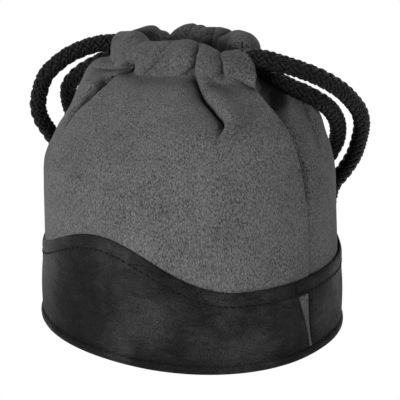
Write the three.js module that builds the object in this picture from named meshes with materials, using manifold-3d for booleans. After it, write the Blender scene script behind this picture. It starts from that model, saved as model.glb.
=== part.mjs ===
// Drawcord pouch for a camera lens: padded leatherette base, soft cloth body, two drawcords.
// Millimetres, +Z up. The origin is the middle of the bottom, the front faces -Y,
// and the side seams, where the cords come out, are at -X and +X.

import * as THREE from 'three';
import { mergeVertices } from 'three/addons/utils/BufferGeometryUtils.js';
import loadManifold from 'manifold-3d';

// Plan of the base, a slightly squared oval
const BASE_LENGTH = 116;
const BASE_WIDTH = 104;
const PLAN_POWER = 2.15;

// Thickness of each material
const LEATHERETTE = 1.2;
const CLOTH = 1.2;
const LINING = 0.8;
const BOARD = 1.6;
const WALL_FOAM = 2.5;
const BASE_FOAM = 4.5;

// Room left between two layers that lie on each other
const LAYER_GAP = 0.3;

// Bottom seam
const PIPING_DIAMETER = 2.7;
const PIPING_LIFT = 0.15;

// Leatherette band: level at the sides, with one raised wave at the middle of each half
const BAND_HEIGHT = 30.6;
const WAVE_RISE = 15.8;
const WAVE_HALF_ANGLE = THREE.MathUtils.degToRad(53);
const BAND_EDGE_ROUND = 0.4;
const SEAM_LAP = 9;
const WALL_FOAM_HEIGHT = 22.5;

// Cloth body: upright to the shoulder, then a full slope, pinched in at the neck
const SHOULDER_HEIGHT = 61;
const NECK_HEIGHT = 99.5;
const SLOPE_SHARE = 0.62;
const SLOPE_POWER = 1.2;
const PINCH_POWER = 12;
const GATHERS = 5;
const GATHER_DEPTH = 1.7;

// Drawcords, and the tunnels round the mouth that hold them
const CORD_DIAMETER = 6;
const CORD_GAP = 0.4;
const MOUTH_LENGTH = 48;
const MOUTH_WIDTH = 26;
const SLIT_WIDTH = 13;
const SLIT_DEPTH = 11;
const SLIT_SPREAD = THREE.MathUtils.degToRad(22);
const PUFF_DEPTH = 0.9;
const CASING_POWER = 2.6;
const TUNNEL_POWER = 2.6;

// Knots
const KNOT_DIAMETER = 14.4;
const KNOT_END_DIAMETER = 12.6;
const KNOT_LOBES = 3;
const KNOT_LOBE_DEPTH = 0.45;
const KNOT_TWIST = THREE.MathUtils.degToRad(150);

// Facets
const OVAL_STEPS = 56;
const HALF_STEPS = 40;
const SHOULDER_STEPS = 7;
const PIPING_SIDES = 8;
const CASING_STEPS = 30;
const CASING_SIDES = 12;
const TUNNEL_SIDES = 12;
const CORD_SIDES = 10;
const RUN_STEPS = 20;
const STRAND_STEPS = 20;
const CORD_SAMPLES = 200;
const KNOT_SIDES = 18;
const KNOT_STEPS = 10;

// Heights of the layers in the bottom, each on the one below
const BOARD_FOOT = LEATHERETTE + LAYER_GAP;
const BASE_FOAM_FOOT = BOARD_FOOT + BOARD + LAYER_GAP;
const BASE_LINING_FOOT = BASE_FOAM_FOOT + BASE_FOAM + LAYER_GAP;
const BAND_FOOT = PIPING_LIFT + PIPING_DIAMETER + LAYER_GAP;

// How far each layer of the wall lies in from the outline of the plan
const BOTTOM_INSET = PIPING_DIAMETER + LAYER_GAP;
const CLOTH_INSET = LEATHERETTE + LAYER_GAP;
const WALL_FOAM_INSET = CLOTH_INSET + CLOTH + LAYER_GAP;
const WALL_LINING_INSET = WALL_FOAM_INSET + WALL_FOAM + LAYER_GAP;
const FLOOR_LINING_INSET = WALL_LINING_INSET + LINING + LAYER_GAP;

// The casing's section, from the cord that it holds
const TUNNEL_RADIUS = CORD_DIAMETER / 2 + CORD_GAP;
const CASING_RADIUS = TUNNEL_RADIUS + CLOTH;
const CASING_MIDDLE = NECK_HEIGHT + LAYER_GAP + CASING_RADIUS;
const SLIT_ANGLE = Math.asin(SLIT_WIDTH / MOUTH_WIDTH);

const wasm = await loadManifold();
wasm.setup();

// Materials

function material(color, roughness) {
  return new THREE.MeshStandardMaterial({ color, roughness, metalness: 0 });
}

const leatherette = material(0x2b2b2d, 0.5);
const cloth = material(0x55565a, 0.95);
const liningCloth = material(0x3a3a3d, 0.9);
const foam = material(0x6b6b6b, 0.95);
const fibreboard = material(0x8a7a62, 0.9);
const braid = material(0x161618, 0.8);

// Plan of the pouch: angle 0 is the middle of the front, and a quarter turn is the right side seam

function planRadius(angle, inset) {
  const across = Math.abs(Math.sin(angle)) / (BASE_LENGTH / 2 - inset);
  const along = Math.abs(Math.cos(angle)) / (BASE_WIDTH / 2 - inset);
  return (across ** PLAN_POWER + along ** PLAN_POWER) ** (-1 / PLAN_POWER);
}

function atRadius(angle, radius, z) {
  return new THREE.Vector3(radius * Math.sin(angle), -radius * Math.cos(angle), z);
}

function onPlan(angle, inset, z) {
  return atRadius(angle, planRadius(angle, inset), z);
}

function fullTurn() {
  return Array.from({ length: OVAL_STEPS }, (_, i) => (2 * Math.PI * i) / OVAL_STEPS);
}

// Angles across one half, from seam to seam, with half a layer gap left at each seam
function halfTurn(middle) {
  const seamGap = LAYER_GAP / BASE_WIDTH;
  const first = middle - Math.PI / 2 + seamGap;
  const span = Math.PI - 2 * seamGap;
  return Array.from({ length: HALF_STEPS + 1 }, (_, i) => first + (span * i) / HALF_STEPS);
}

// Lofting: rings of points joined into one closed body

function ringNormal(ring) {
  const normal = new THREE.Vector3();
  ring.forEach((point, i) => {
    const next = ring[(i + 1) % ring.length];
    normal.add(new THREE.Vector3().crossVectors(point, next));
  });
  return normal.normalize();
}

function ringMiddle(ring) {
  const sum = ring.reduce((total, point) => total.add(point), new THREE.Vector3());
  return sum.divideScalar(ring.length);
}

function capTriangles(ring, outward) {
  const normal = ringNormal(ring);
  const sideways = new THREE.Vector3().subVectors(ring[1], ring[0]).normalize();
  const upward = new THREE.Vector3().crossVectors(normal, sideways);
  const flat = ring.map((point) => new THREE.Vector2(point.dot(sideways), point.dot(upward)));
  return THREE.ShapeUtils.triangulateShape(flat, []).map(([a, b, c]) => {
    const ab = new THREE.Vector3().subVectors(ring[b], ring[a]);
    const ac = new THREE.Vector3().subVectors(ring[c], ring[a]);
    return ab.cross(ac).dot(outward) > 0 ? [a, b, c] : [a, c, b];
  });
}

function loft(rings, joined = false) {
  const count = rings[0].length;
  const index = [];
  const forward = new THREE.Vector3().subVectors(ringMiddle(rings[1]), ringMiddle(rings[0]));
  const facesForward = ringNormal(rings[0]).dot(forward) > 0;
  const bands = joined ? rings.length : rings.length - 1;
  for (let i = 0; i < bands; i += 1) {
    const here = i * count;
    const there = ((i + 1) % rings.length) * count;
    for (let j = 0; j < count; j += 1) {
      const k = (j + 1) % count;
      const quad = [here + j, here + k, there + k, there + j];
      const [a, b, c, d] = facesForward ? quad : quad.reverse();
      index.push(a, b, c, a, c, d);
    }
  }
  if (!joined) {
    const lastStart = (rings.length - 1) * count;
    const back = forward.clone().negate();
    const away = new THREE.Vector3().subVectors(ringMiddle(rings.at(-1)), ringMiddle(rings.at(-2)));
    capTriangles(rings[0], back).forEach((triangle) => index.push(...triangle));
    capTriangles(rings.at(-1), away).forEach((triangle) => index.push(...triangle.map((v) => v + lastStart)));
  }
  const geometry = new THREE.BufferGeometry();
  const positions = rings.flat().flatMap((point) => point.toArray());
  geometry.setAttribute('position', new THREE.Float32BufferAttribute(positions, 3));
  geometry.setIndex(index);
  geometry.computeVertexNormals();
  return geometry;
}

// A profile of [inset, height] points carried round the whole plan
function hoop(profile) {
  const rings = fullTurn().map((angle) => profile.map(([inset, z]) => onPlan(angle, inset, z)));
  return loft(rings, true);
}

function disc(inset, foot, thickness) {
  const outline = fullTurn().map((angle) => onPlan(angle, inset, 0));
  const shape = new THREE.Shape(outline.map((point) => new THREE.Vector2(point.x, point.y)));
  const geometry = new THREE.ExtrudeGeometry(shape, { depth: thickness, bevelEnabled: false });
  return geometry.translate(0, 0, foot);
}

// Cutting one closed geometry out of another

function toSolid(geometry) {
  const bare = geometry.clone();
  bare.deleteAttribute('normal');
  bare.deleteAttribute('uv');
  const merged = mergeVertices(bare);
  return new wasm.Manifold(new wasm.Mesh({
    numProp: 3,
    vertProperties: new Float32Array(merged.attributes.position.array),
    triVerts: new Uint32Array(merged.index.array),
  }));
}

function cutOut(geometry, tool) {
  const mesh = toSolid(geometry).subtract(toSolid(tool)).getMesh();
  const result = new THREE.BufferGeometry();
  result.setAttribute('position', new THREE.BufferAttribute(new Float32Array(mesh.vertProperties), 3));
  result.setIndex(new THREE.BufferAttribute(new Uint32Array(mesh.triVerts), 1));
  result.computeVertexNormals();
  return result;
}

// Bottom

function basePiping() {
  const radius = PIPING_DIAMETER / 2;
  const profile = Array.from({ length: PIPING_SIDES }, (_, i) => {
    const turn = (2 * Math.PI * (i + 0.5)) / PIPING_SIDES;
    return [radius + radius * Math.cos(turn), PIPING_LIFT + radius + radius * Math.sin(turn)];
  });
  return hoop(profile);
}

// Lower wall

// Height of the band's upper edge: a raised cosine over the middle of each half
function bandEdge(fromMiddle) {
  if (Math.abs(fromMiddle) >= WAVE_HALF_ANGLE) return BAND_HEIGHT;
  return BAND_HEIGHT + (WAVE_RISE / 2) * (1 + Math.cos((Math.PI * fromMiddle) / WAVE_HALF_ANGLE));
}

function bandHalf(middle) {
  const rings = halfTurn(middle).map((angle) => {
    const edge = bandEdge(angle - middle);
    return [
      onPlan(angle, 0, BAND_FOOT),
      onPlan(angle, 0, edge - BAND_EDGE_ROUND),
      onPlan(angle, BAND_EDGE_ROUND, edge),
      onPlan(angle, LEATHERETTE, edge),
      onPlan(angle, LEATHERETTE, BAND_FOOT),
    ];
  });
  return loft(rings);
}

function wallFoam() {
  const outer = WALL_FOAM_INSET;
  const inner = WALL_FOAM_INSET + WALL_FOAM;
  const top = BASE_FOAM_FOOT + WALL_FOAM_HEIGHT;
  return hoop([[outer, BASE_FOAM_FOOT], [outer, top], [inner, top], [inner, BASE_FOAM_FOOT]]);
}

// Each half of the sleeve stands on the floor's foam and is turned out over the top of the wall's foam
function wallLiningHalf(middle) {
  const outer = WALL_LINING_INSET;
  const inner = WALL_LINING_INSET + LINING;
  const lip = BASE_FOAM_FOOT + WALL_FOAM_HEIGHT + LAYER_GAP;
  const profile = [
    [outer, BASE_LINING_FOOT],
    [outer, lip],
    [WALL_FOAM_INSET, lip],
    [WALL_FOAM_INSET, lip + LINING],
    [inner, lip + LINING],
    [inner, BASE_LINING_FOOT],
  ];
  return loft(halfTurn(middle).map((angle) => profile.map(([inset, z]) => onPlan(angle, inset, z))));
}

// Cloth body

function neckRadius(angle) {
  const across = Math.sin(angle) / (MOUTH_LENGTH / 2 + CLOTH / 2);
  const along = Math.cos(angle) / (MOUTH_WIDTH / 2 + CLOTH / 2);
  return 1 / Math.hypot(across, along);
}

// One fold per gather, with a hollow at each seam
function gatherWave(share) {
  return -Math.cos(2 * Math.PI * GATHERS * share);
}

// How far the cloth is drawn in from the wall to the neck at each share of the rise
function drawnIn(rise) {
  return SLOPE_SHARE * rise ** SLOPE_POWER + (1 - SLOPE_SHARE) * rise ** PINCH_POWER;
}

// Share of the rise to the neck that the cloth keeps: less beside the slits at the side seams
function keptRise(fromMiddle) {
  const fromSeam = Math.PI / 2 - Math.abs(fromMiddle);
  const cut = SLIT_DEPTH * Math.max(1 - fromSeam / SLIT_SPREAD, 0);
  return 1 - cut / (NECK_HEIGHT - SHOULDER_HEIGHT);
}

// Outer face of the cloth at one angle, from its lower edge behind the band up to the neck
function bodyProfile(angle, middle) {
  const wall = planRadius(angle, CLOTH_INSET);
  const share = (angle - middle) / Math.PI + 0.5;
  const lower = bandEdge(angle - middle) - SEAM_LAP;
  const profile = [new THREE.Vector2(wall, lower), new THREE.Vector2(wall, (lower + SHOULDER_HEIGHT) / 2)];
  for (let i = 0; i <= SHOULDER_STEPS; i += 1) {
    const rise = keptRise(angle - middle) * Math.sin((Math.PI / 2) * (i / SHOULDER_STEPS));
    const fold = GATHER_DEPTH * rise ** 2 * gatherWave(share);
    const radius = THREE.MathUtils.lerp(wall, neckRadius(angle), drawnIn(rise)) + fold;
    profile.push(new THREE.Vector2(radius, THREE.MathUtils.lerp(SHOULDER_HEIGHT, NECK_HEIGHT, rise)));
  }
  return profile;
}

// The same line moved in by the cloth's thickness, square to the cloth
function innerProfile(profile) {
  return profile.map((point, i) => {
    const before = profile[Math.max(i - 1, 0)];
    const after = profile[Math.min(i + 1, profile.length - 1)];
    const along = new THREE.Vector2().subVectors(after, before).normalize();
    return point.clone().addScaledVector(new THREE.Vector2(-along.y, along.x), CLOTH);
  });
}

function bodyHalf(middle) {
  const rings = halfTurn(middle).map((angle) => {
    const outer = bodyProfile(angle, middle);
    const outline = [...outer, ...innerProfile(outer).reverse()];
    return outline.map((point) => atRadius(angle, point.x, point.y));
  });
  return loft(rings);
}

// Casing round the mouth: turn 0 is at the right side, and a quarter turn is the middle of the front

function mouthPoint(turn, z) {
  return new THREE.Vector3((MOUTH_LENGTH / 2) * Math.cos(turn), -(MOUTH_WIDTH / 2) * Math.sin(turn), z);
}

function mouthOutward(turn) {
  const outward = new THREE.Vector3((MOUTH_WIDTH / 2) * Math.cos(turn), -(MOUTH_LENGTH / 2) * Math.sin(turn), 0);
  return outward.normalize();
}

function mouthForward(turn) {
  const forward = new THREE.Vector3(-(MOUTH_LENGTH / 2) * Math.sin(turn), -(MOUTH_WIDTH / 2) * Math.cos(turn), 0);
  return forward.normalize();
}

// A squared ring about the mouth line
function casingRing(turn, radius, power, sides, shift = 0) {
  const middle = mouthPoint(turn, CASING_MIDDLE).addScaledVector(mouthForward(turn), shift);
  const outward = mouthOutward(turn);
  const squared = (value) => Math.sign(value) * Math.abs(value) ** (2 / power);
  return Array.from({ length: sides }, (_, i) => {
    const around = (2 * Math.PI * (i + 0.5)) / sides;
    const point = middle.clone().addScaledVector(outward, radius.width * squared(Math.cos(around)));
    point.z += radius.height * squared(Math.sin(around));
    return point;
  });
}

function casingHalf(first) {
  const span = Math.PI - 2 * SLIT_ANGLE;
  const turnAt = (share) => first + SLIT_ANGLE + span * share;
  const shares = Array.from({ length: CASING_STEPS + 1 }, (_, i) => i / CASING_STEPS);
  const skin = shares.map((share) => {
    const puffed = CASING_RADIUS + (PUFF_DEPTH / 2) * (1 + gatherWave(share));
    const radius = { width: puffed, height: CASING_RADIUS };
    return casingRing(turnAt(share), radius, CASING_POWER, CASING_SIDES);
  });
  const bore = (share, shift) => {
    const radius = { width: TUNNEL_RADIUS, height: TUNNEL_RADIUS };
    return casingRing(turnAt(share), radius, TUNNEL_POWER, TUNNEL_SIDES, shift);
  };
  const overrun = CORD_DIAMETER / 2;
  const tunnel = [bore(0, -overrun), ...shares.map((share) => bore(share, 0)), bore(1, overrun)];
  return cutOut(loft(skin), loft(tunnel));
}

// Cords

// Routes of the four free ends, out of the casing's open end, through the slit, over the shoulder
// and down behind the pouch to the knot. The second point is where the cord leaves the slit.
const RIGHT_FRONT_ROUTE = [
  [24.4, -3.9, 105.2], [28.4, -2.2, 105.7], [32.4, -0.6, 105], [36.6, 1.4, 103.6], [42.6, 5.2, 101.3],
  [47.4, 12, 97.6], [49.4, 22.4, 91.8], [49, 32, 85.4], [47.8, 39.8, 79], [45.6, 45.6, 72.4],
  [42.2, 50.5, 65], [37.8, 54.6, 56.5], [33, 57.4, 48.4], [28.8, 59.4, 40], [26.6, 61, 32],
  [25.4, 62.4, 25.4], [24.2, 64, 19], [22, 65.4, 13.2], [18.8, 66.4, 9.8], [15, 67, 8.2],
  [11.4, 67, 8],
];
const RIGHT_REAR_ROUTE = [
  [24, 5.1, 103.6], [27.6, 4.3, 101.7], [31.2, 3.6, 99.4], [35.4, 3.2, 97.4], [40.2, 4.4, 95.6],
  [43.8, 8.6, 93.2], [45, 15.4, 89.5], [43.8, 24, 84.6], [41.2, 32.6, 78.8], [38.8, 39.2, 73.6],
  [36, 44.6, 68.4], [33.2, 48.8, 63], [30.2, 51.8, 58], [26.8, 54, 51.6], [23.8, 55, 45],
  [21.4, 56, 37], [20.4, 56.8, 29], [20.2, 57.4, 22], [19.4, 58.2, 15.6], [17.6, 59.3, 10.8],
  [14.8, 60.1, 8.3], [11.4, 60.2, 8],
];
const LEFT_FRONT_ROUTE = [
  [-24.2, -4.8, 104], [-28, -4.2, 103.4], [-32.2, -4.9, 102.8], [-37.4, -6.8, 101.6], [-42.8, -9.2, 99.6],
  [-48.4, -11.8, 96.4], [-53.2, -13.9, 92.2], [-56.6, -14.9, 88.4], [-59.8, -14.9, 82], [-62.6, -13.3, 74.6],
  [-63.4, -10.8, 69], [-63.4, -7, 63.6], [-63.4, -3.2, 58.6], [-64.4, 2.4, 50.4], [-65.8, 8.8, 41.4],
  [-67, 15.4, 32.2], [-67.6, 22, 23.6], [-67.2, 28, 16.4], [-65.3, 32.6, 11.5], [-62.4, 36.3, 9],
  [-59.6, 39.4, 8.1], [-57.7, 41.4, 8],
];
const LEFT_REAR_ROUTE = [
  [-24.2, 4.8, 103.2], [-28, 3.6, 101], [-32, 2.2, 98.4], [-38.2, 0.4, 95.4], [-43.8, -1, 92.2],
  [-48.4, -1.6, 89.2], [-52.6, -1.4, 85.5], [-56.2, -0.6, 81.2], [-58.8, 0.8, 76.8], [-60.4, 2.4, 72.8],
  [-61.2, 4.6, 69], [-61.6, 7.2, 65], [-61.6, 10.4, 59.6], [-61.6, 14.4, 51.8], [-61.8, 18.4, 42.5],
  [-61.9, 22, 33], [-61.7, 25, 23.5], [-60.7, 27.8, 16], [-58.8, 30.6, 11.3], [-56.3, 33.3, 8.9],
  [-54.4, 35.4, 8.1], [-52.9, 37, 8],
];
const SLIT_POINT = 1;

function smoothCurve(route) {
  return new THREE.CatmullRomCurve3(route, false, 'centripetal');
}

function cordTube(route, steps) {
  const corners = Array.from({ length: CORD_SIDES }, (_, i) => {
    const turn = (2 * Math.PI * i) / CORD_SIDES;
    return new THREE.Vector2(Math.cos(turn), Math.sin(turn)).multiplyScalar(CORD_DIAMETER / 2);
  });
  return new THREE.ExtrudeGeometry(new THREE.Shape(corners), { steps, extrudePath: smoothCurve(route) });
}

// One whole cord: in from the knot at one side, through its casing, and out to the knot at the other.
// It is split where it leaves each slit, with a layer gap at each split.
function drawcord(first, routeIn, routeOut) {
  const toPoints = (list) => list.map(([x, y, z]) => new THREE.Vector3(x, y, z));
  const span = Math.PI - 2 * SLIT_ANGLE;
  const held = Array.from({ length: RUN_STEPS + 1 }, (_, i) => {
    return mouthPoint(first + SLIT_ANGLE + (span * i) / RUN_STEPS, CASING_MIDDLE);
  });
  const route = [...toPoints(routeIn).reverse(), ...held, ...toPoints(routeOut)];
  const whole = smoothCurve(route);
  const last = route.length - 1;
  const slitIn = (routeIn.length - 1 - SLIT_POINT) / last;
  const slitOut = 1 - (routeOut.length - 1 - SLIT_POINT) / last;
  const nudge = (at) => LAYER_GAP / 2 / (whole.getPoint(at + 1e-4).distanceTo(whole.getPoint(at)) * 1e4);
  const stretch = (from, to) => Array.from({ length: CORD_SAMPLES + 1 }, (_, i) => {
    return whole.getPoint(THREE.MathUtils.lerp(from, to, i / CORD_SAMPLES));
  });
  const strandIn = stretch(0, slitIn - nudge(slitIn));
  const run = stretch(slitIn + nudge(slitIn), slitOut - nudge(slitOut));
  const strandOut = stretch(slitOut + nudge(slitOut), 1);
  return {
    strandIn: cordTube(strandIn, STRAND_STEPS),
    run: cordTube(run, RUN_STEPS),
    strandOut: cordTube(strandOut, STRAND_STEPS),
  };
}

// A tight bundle of crossed strands lying on its side
function knot(start, end) {
  const axis = new THREE.Vector3().subVectors(end, start);
  const forward = axis.clone().normalize();
  const sideways = new THREE.Vector3(-forward.y, forward.x, 0);
  const upward = new THREE.Vector3().crossVectors(forward, sideways);
  const rings = Array.from({ length: KNOT_STEPS + 1 }, (_, i) => {
    const share = i / KNOT_STEPS;
    const bulge = 1 - (2 * share - 1) ** 4;
    const radius = THREE.MathUtils.lerp(KNOT_END_DIAMETER, KNOT_DIAMETER, bulge) / 2;
    const middle = start.clone().addScaledVector(axis, share);
    return Array.from({ length: KNOT_SIDES }, (_, j) => {
      const around = (2 * Math.PI * j) / KNOT_SIDES;
      const lobed = radius + KNOT_LOBE_DEPTH * Math.cos(KNOT_LOBES * around + KNOT_TWIST * share);
      const point = middle.clone().addScaledVector(sideways, lobed * Math.cos(around));
      return point.addScaledVector(upward, lobed * Math.sin(around));
    });
  });
  return loft(rings);
}

const KNOT_MIDDLE_HEIGHT = 8;
const RIGHT_KNOT = [new THREE.Vector3(11, 63.6, KNOT_MIDDLE_HEIGHT), new THREE.Vector3(-7, 63.6, KNOT_MIDDLE_HEIGHT)];
const LEFT_KNOT = [new THREE.Vector3(-55, 39.5, KNOT_MIDDLE_HEIGHT), new THREE.Vector3(-43, 52.5, KNOT_MIDDLE_HEIGHT)];

// Assembly

const pouch = new THREE.Group();

function piece(name, geometry, finish) {
  const mesh = new THREE.Mesh(geometry, finish);
  mesh.name = name;
  pouch.add(mesh);
}

piece('base_panel', disc(BOTTOM_INSET, 0, LEATHERETTE), leatherette);
piece('base_piping', basePiping(), leatherette);
piece('base_board', disc(BOTTOM_INSET, BOARD_FOOT, BOARD), fibreboard);
piece('base_foam', disc(WALL_LINING_INSET, BASE_FOAM_FOOT, BASE_FOAM), foam);
piece('base_lining', disc(FLOOR_LINING_INSET, BASE_LINING_FOOT, LINING), liningCloth);

const FRONT = 0;
const REAR = Math.PI;
piece('band_front', bandHalf(FRONT), leatherette);
piece('band_rear', bandHalf(REAR), leatherette);
piece('wall_foam', wallFoam(), foam);
piece('wall_lining_front', wallLiningHalf(FRONT), liningCloth);
piece('wall_lining_rear', wallLiningHalf(REAR), liningCloth);
piece('body_front', bodyHalf(FRONT), cloth);
piece('body_rear', bodyHalf(REAR), cloth);
piece('casing_front', casingHalf(0), cloth);
piece('casing_rear', casingHalf(Math.PI), cloth);

const frontCord = drawcord(0, RIGHT_FRONT_ROUTE, LEFT_FRONT_ROUTE);
piece('front_cord_run', frontCord.run, braid);
piece('front_cord_right_strand', frontCord.strandIn, braid);
piece('front_cord_left_strand', frontCord.strandOut, braid);

const rearCord = drawcord(Math.PI, LEFT_REAR_ROUTE, RIGHT_REAR_ROUTE);
piece('rear_cord_run', rearCord.run, braid);
piece('rear_cord_left_strand', rearCord.strandIn, braid);
piece('rear_cord_right_strand', rearCord.strandOut, braid);

piece('right_knot', knot(...RIGHT_KNOT), braid);
piece('left_knot', knot(...LEFT_KNOT), braid);

export default pouch;
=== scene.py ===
# %% [markdown]
# # A drawcord lens pouch
# The pouch is a soft bag for a camera lens. A padded leatherette band stands on a stiff oval bottom, a
# suede-like cloth body rises out of it, and two braided cords draw the mouth together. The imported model
# comes first, because every soft piece is laid over the solid that it stands for.

# %% The frame
import math

import bpy
import numpy as np
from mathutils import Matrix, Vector, noise


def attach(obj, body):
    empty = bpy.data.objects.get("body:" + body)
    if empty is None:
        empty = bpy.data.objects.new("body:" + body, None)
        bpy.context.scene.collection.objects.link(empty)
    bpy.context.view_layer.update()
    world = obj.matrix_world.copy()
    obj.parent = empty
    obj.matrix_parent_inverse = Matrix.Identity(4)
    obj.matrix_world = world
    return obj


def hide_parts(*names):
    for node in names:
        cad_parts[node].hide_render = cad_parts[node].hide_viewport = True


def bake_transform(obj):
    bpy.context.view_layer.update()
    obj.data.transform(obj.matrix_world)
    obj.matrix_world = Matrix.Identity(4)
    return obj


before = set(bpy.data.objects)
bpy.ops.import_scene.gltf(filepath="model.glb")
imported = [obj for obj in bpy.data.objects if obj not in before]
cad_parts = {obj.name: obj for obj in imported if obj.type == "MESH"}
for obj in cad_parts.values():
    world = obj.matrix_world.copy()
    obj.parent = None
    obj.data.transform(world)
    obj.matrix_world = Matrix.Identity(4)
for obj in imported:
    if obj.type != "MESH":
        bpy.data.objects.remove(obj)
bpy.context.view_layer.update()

# %% [markdown]
# ## The camera
# A product photograph of a small thing is taken from several times its size away, with a long lens, so
# that the near side doesn't swell. The camera looks down a little and from the right of the front. It
# aims beside the middle of the pouch, because the cords on the right need room in the picture. Lengths
# are in millimetres here, and MM turns them into Blender's metres.

# %% Camera
MM = 0.001
AZIMUTH = math.radians(36)
ELEVATION = math.radians(19.75)
CAMERA_DISTANCE = 633.9
AIM_HEIGHT = 52.8
AIM_RIGHT = 3.31
AIM_DOWN = 6.5
SENSOR_WIDTH = 36
LENS_PER_SENSOR = 4.26375


def toward(azimuth, elevation):
    """A direction from the pouch, with azimuth 0 at the front and a quarter turn at the right."""
    flat = math.cos(elevation)
    return Vector((math.sin(azimuth) * flat, -math.cos(azimuth) * flat, math.sin(elevation)))


back = toward(AZIMUTH, ELEVATION)
rightward = Vector((math.cos(AZIMUTH), math.sin(AZIMUTH), 0))
upward = back.cross(rightward)
aim = Vector((0, 0, AIM_HEIGHT)) + rightward * AIM_RIGHT - upward * AIM_DOWN
camera_data = bpy.data.cameras.new("camera")
camera_data.sensor_width = SENSOR_WIDTH
camera_data.lens = SENSOR_WIDTH * LENS_PER_SENSOR
camera = bpy.data.objects.new("camera", camera_data)
camera.location = (aim + back * CAMERA_DISTANCE) * MM
camera.rotation_euler = back.to_track_quat("Z", "Y").to_euler()
bpy.context.scene.collection.objects.link(camera)
bpy.context.scene.camera = camera
bpy.context.scene.view_settings.view_transform = "Standard"
print("lens", round(camera_data.lens, 1), "mm")

# %% [markdown]
# ## White floor and sky
# The pouch stands on a white table with white all round it. Lit as brightly as it looks, so much white
# would wash out a dark pouch from every side. So table and sky show plain white to the camera and to
# reflections, while everything else sees them at the level of ordinary light. A mix of two shaders,
# switched by the kind of ray, does that.

# %% Sky
WHITE = (1, 1, 1, 1)
SKY_LEVEL = 0.16


def white_when_seen(tree, lit, white, output):
    """One shader for the camera, mirror and glass rays, another for the light that falls on things."""
    path = tree.nodes.new("ShaderNodeLightPath")
    seen = path.outputs["Is Camera Ray"]
    for ray in ("Is Glossy Ray", "Is Transmission Ray"):
        either = tree.nodes.new("ShaderNodeMath")
        either.operation = "MAXIMUM"
        tree.links.new(seen, either.inputs[0])
        tree.links.new(path.outputs[ray], either.inputs[1])
        seen = either.outputs[0]
    mix = tree.nodes.new("ShaderNodeMixShader")
    for socket, source in zip(mix.inputs, (seen, lit.outputs[0], white.outputs[0])):
        tree.links.new(source, socket)
    tree.links.new(mix.outputs[0], output.inputs["Surface"])


sky = bpy.data.worlds.new("sky")
sky.use_nodes = True
bpy.context.scene.world = sky
sky_nodes = sky.node_tree.nodes
sky_light = sky_nodes["Background"]
sky_light.inputs["Color"].default_value = WHITE
sky_light.inputs["Strength"].default_value = SKY_LEVEL
white_sky = sky_nodes.new("ShaderNodeBackground")
white_sky.inputs["Color"].default_value = WHITE
white_when_seen(sky.node_tree, sky_light, white_sky, sky_nodes["World Output"])
print("sky at", SKY_LEVEL)

# %% [markdown]
# ## The table
# The table is a plain matt board, far larger than the picture. It takes no part in the model.

# %% Table
TABLE_COLOUR = (0.8, 0.8, 0.8, 1)
TABLE_ROUGHNESS = 0.8
TABLE_SHINE = 0.1
FLOOR_HALF = 3.0

table = bpy.data.materials.new("white_table")
table.use_nodes = True
table_nodes = table.node_tree.nodes
table_shader = table_nodes["Principled BSDF"]
table_shader.inputs["Base Color"].default_value = TABLE_COLOUR
table_shader.inputs["Roughness"].default_value = TABLE_ROUGHNESS
table_shader.inputs["Specular IOR Level"].default_value = TABLE_SHINE
table_white = table_nodes.new("ShaderNodeEmission")
white_when_seen(table.node_tree, table_shader, table_white, table_nodes["Material Output"])

floor_mesh = bpy.data.meshes.new("floor")
floor_corners = [(x * FLOOR_HALF, y * FLOOR_HALF, 0) for x, y in ((-1, -1), (1, -1), (1, 1), (-1, 1))]
floor_mesh.from_pydata(floor_corners, [], [(0, 1, 2, 3)])
floor_mesh.materials.append(table)
floor = bpy.data.objects.new("floor", floor_mesh)
bpy.context.scene.collection.objects.link(floor)
print("floor", 2 * FLOOR_HALF, "m wide")

# %% [markdown]
# ## Lamps
# A studio lights a dark, soft thing with a few large softboxes, which area lamps stand for. The strongest
# one stands in front, slightly left and low, so that the folds of the hem don't fall into shade. A weaker
# one fills from the right, and another stands behind and high up, so that the back isn't black.

# %% Lamps
LAMP_DISTANCE = 0.9


def softbox(name, azimuth, elevation, size, watts):
    """A rectangular area lamp that looks at the pouch, placed by its angles as a photographer would."""
    lamp = bpy.data.lights.new(name, "AREA")
    lamp.shape = "RECTANGLE"
    lamp.size, lamp.size_y = size
    lamp.energy = watts
    stand = bpy.data.objects.new(name, lamp)
    direction = toward(math.radians(azimuth), math.radians(elevation))
    stand.location = Vector((0, 0, AIM_HEIGHT * MM)) + direction * LAMP_DISTANCE
    stand.rotation_euler = direction.to_track_quat("Z", "Y").to_euler()
    bpy.context.scene.collection.objects.link(stand)


softbox("key_softbox", azimuth=-6, elevation=7, size=(0.6, 0.32), watts=7.6)
softbox("fill_softbox", azimuth=84, elevation=8, size=(0.4, 0.4), watts=3)
softbox("back_softbox", azimuth=205, elevation=52, size=(0.5, 0.4), watts=3.2)

# %% [markdown]
# ## Helpers for lines
# Most of the pouch is either a line with something wrapped round it, such as a cord or piping, or a skin
# laid out in rows and columns. So a few small helpers draw smooth lines first. All of them work in
# millimetres, and a piece becomes metres only when its mesh is made.

# %% Lines
CURVE_SAMPLES = 25


def unit(vectors):
    """The same directions with a length of one."""
    return vectors / np.maximum(np.linalg.norm(vectors, axis=-1, keepdims=True), 1e-9)


def soft_step(share):
    """A share from 0 to 1 that starts and stops gently."""
    return share * share * (3 - 2 * share)


def distances(line):
    """How far along a line each of its points lies."""
    return np.concatenate([[0], np.cumsum(np.linalg.norm(np.diff(line, axis=0), axis=1))])


def at_distances(line, places):
    """The points that lie at these distances along a line."""
    along = distances(line)
    return np.stack([np.interp(places, along, line[:, axis]) for axis in range(3)], 1)


def even_steps(line, step):
    """The same line with its points about one step apart."""
    length = distances(line)[-1]
    return at_distances(line, np.linspace(0, length, max(int(round(length / step)), 2) + 1))


def between(a, b, t, first, last):
    """The point at time t on the way from a, passed at the first time, to b, passed at the last."""
    return a + (b - a) * (t - first) / (last - first)


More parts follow.
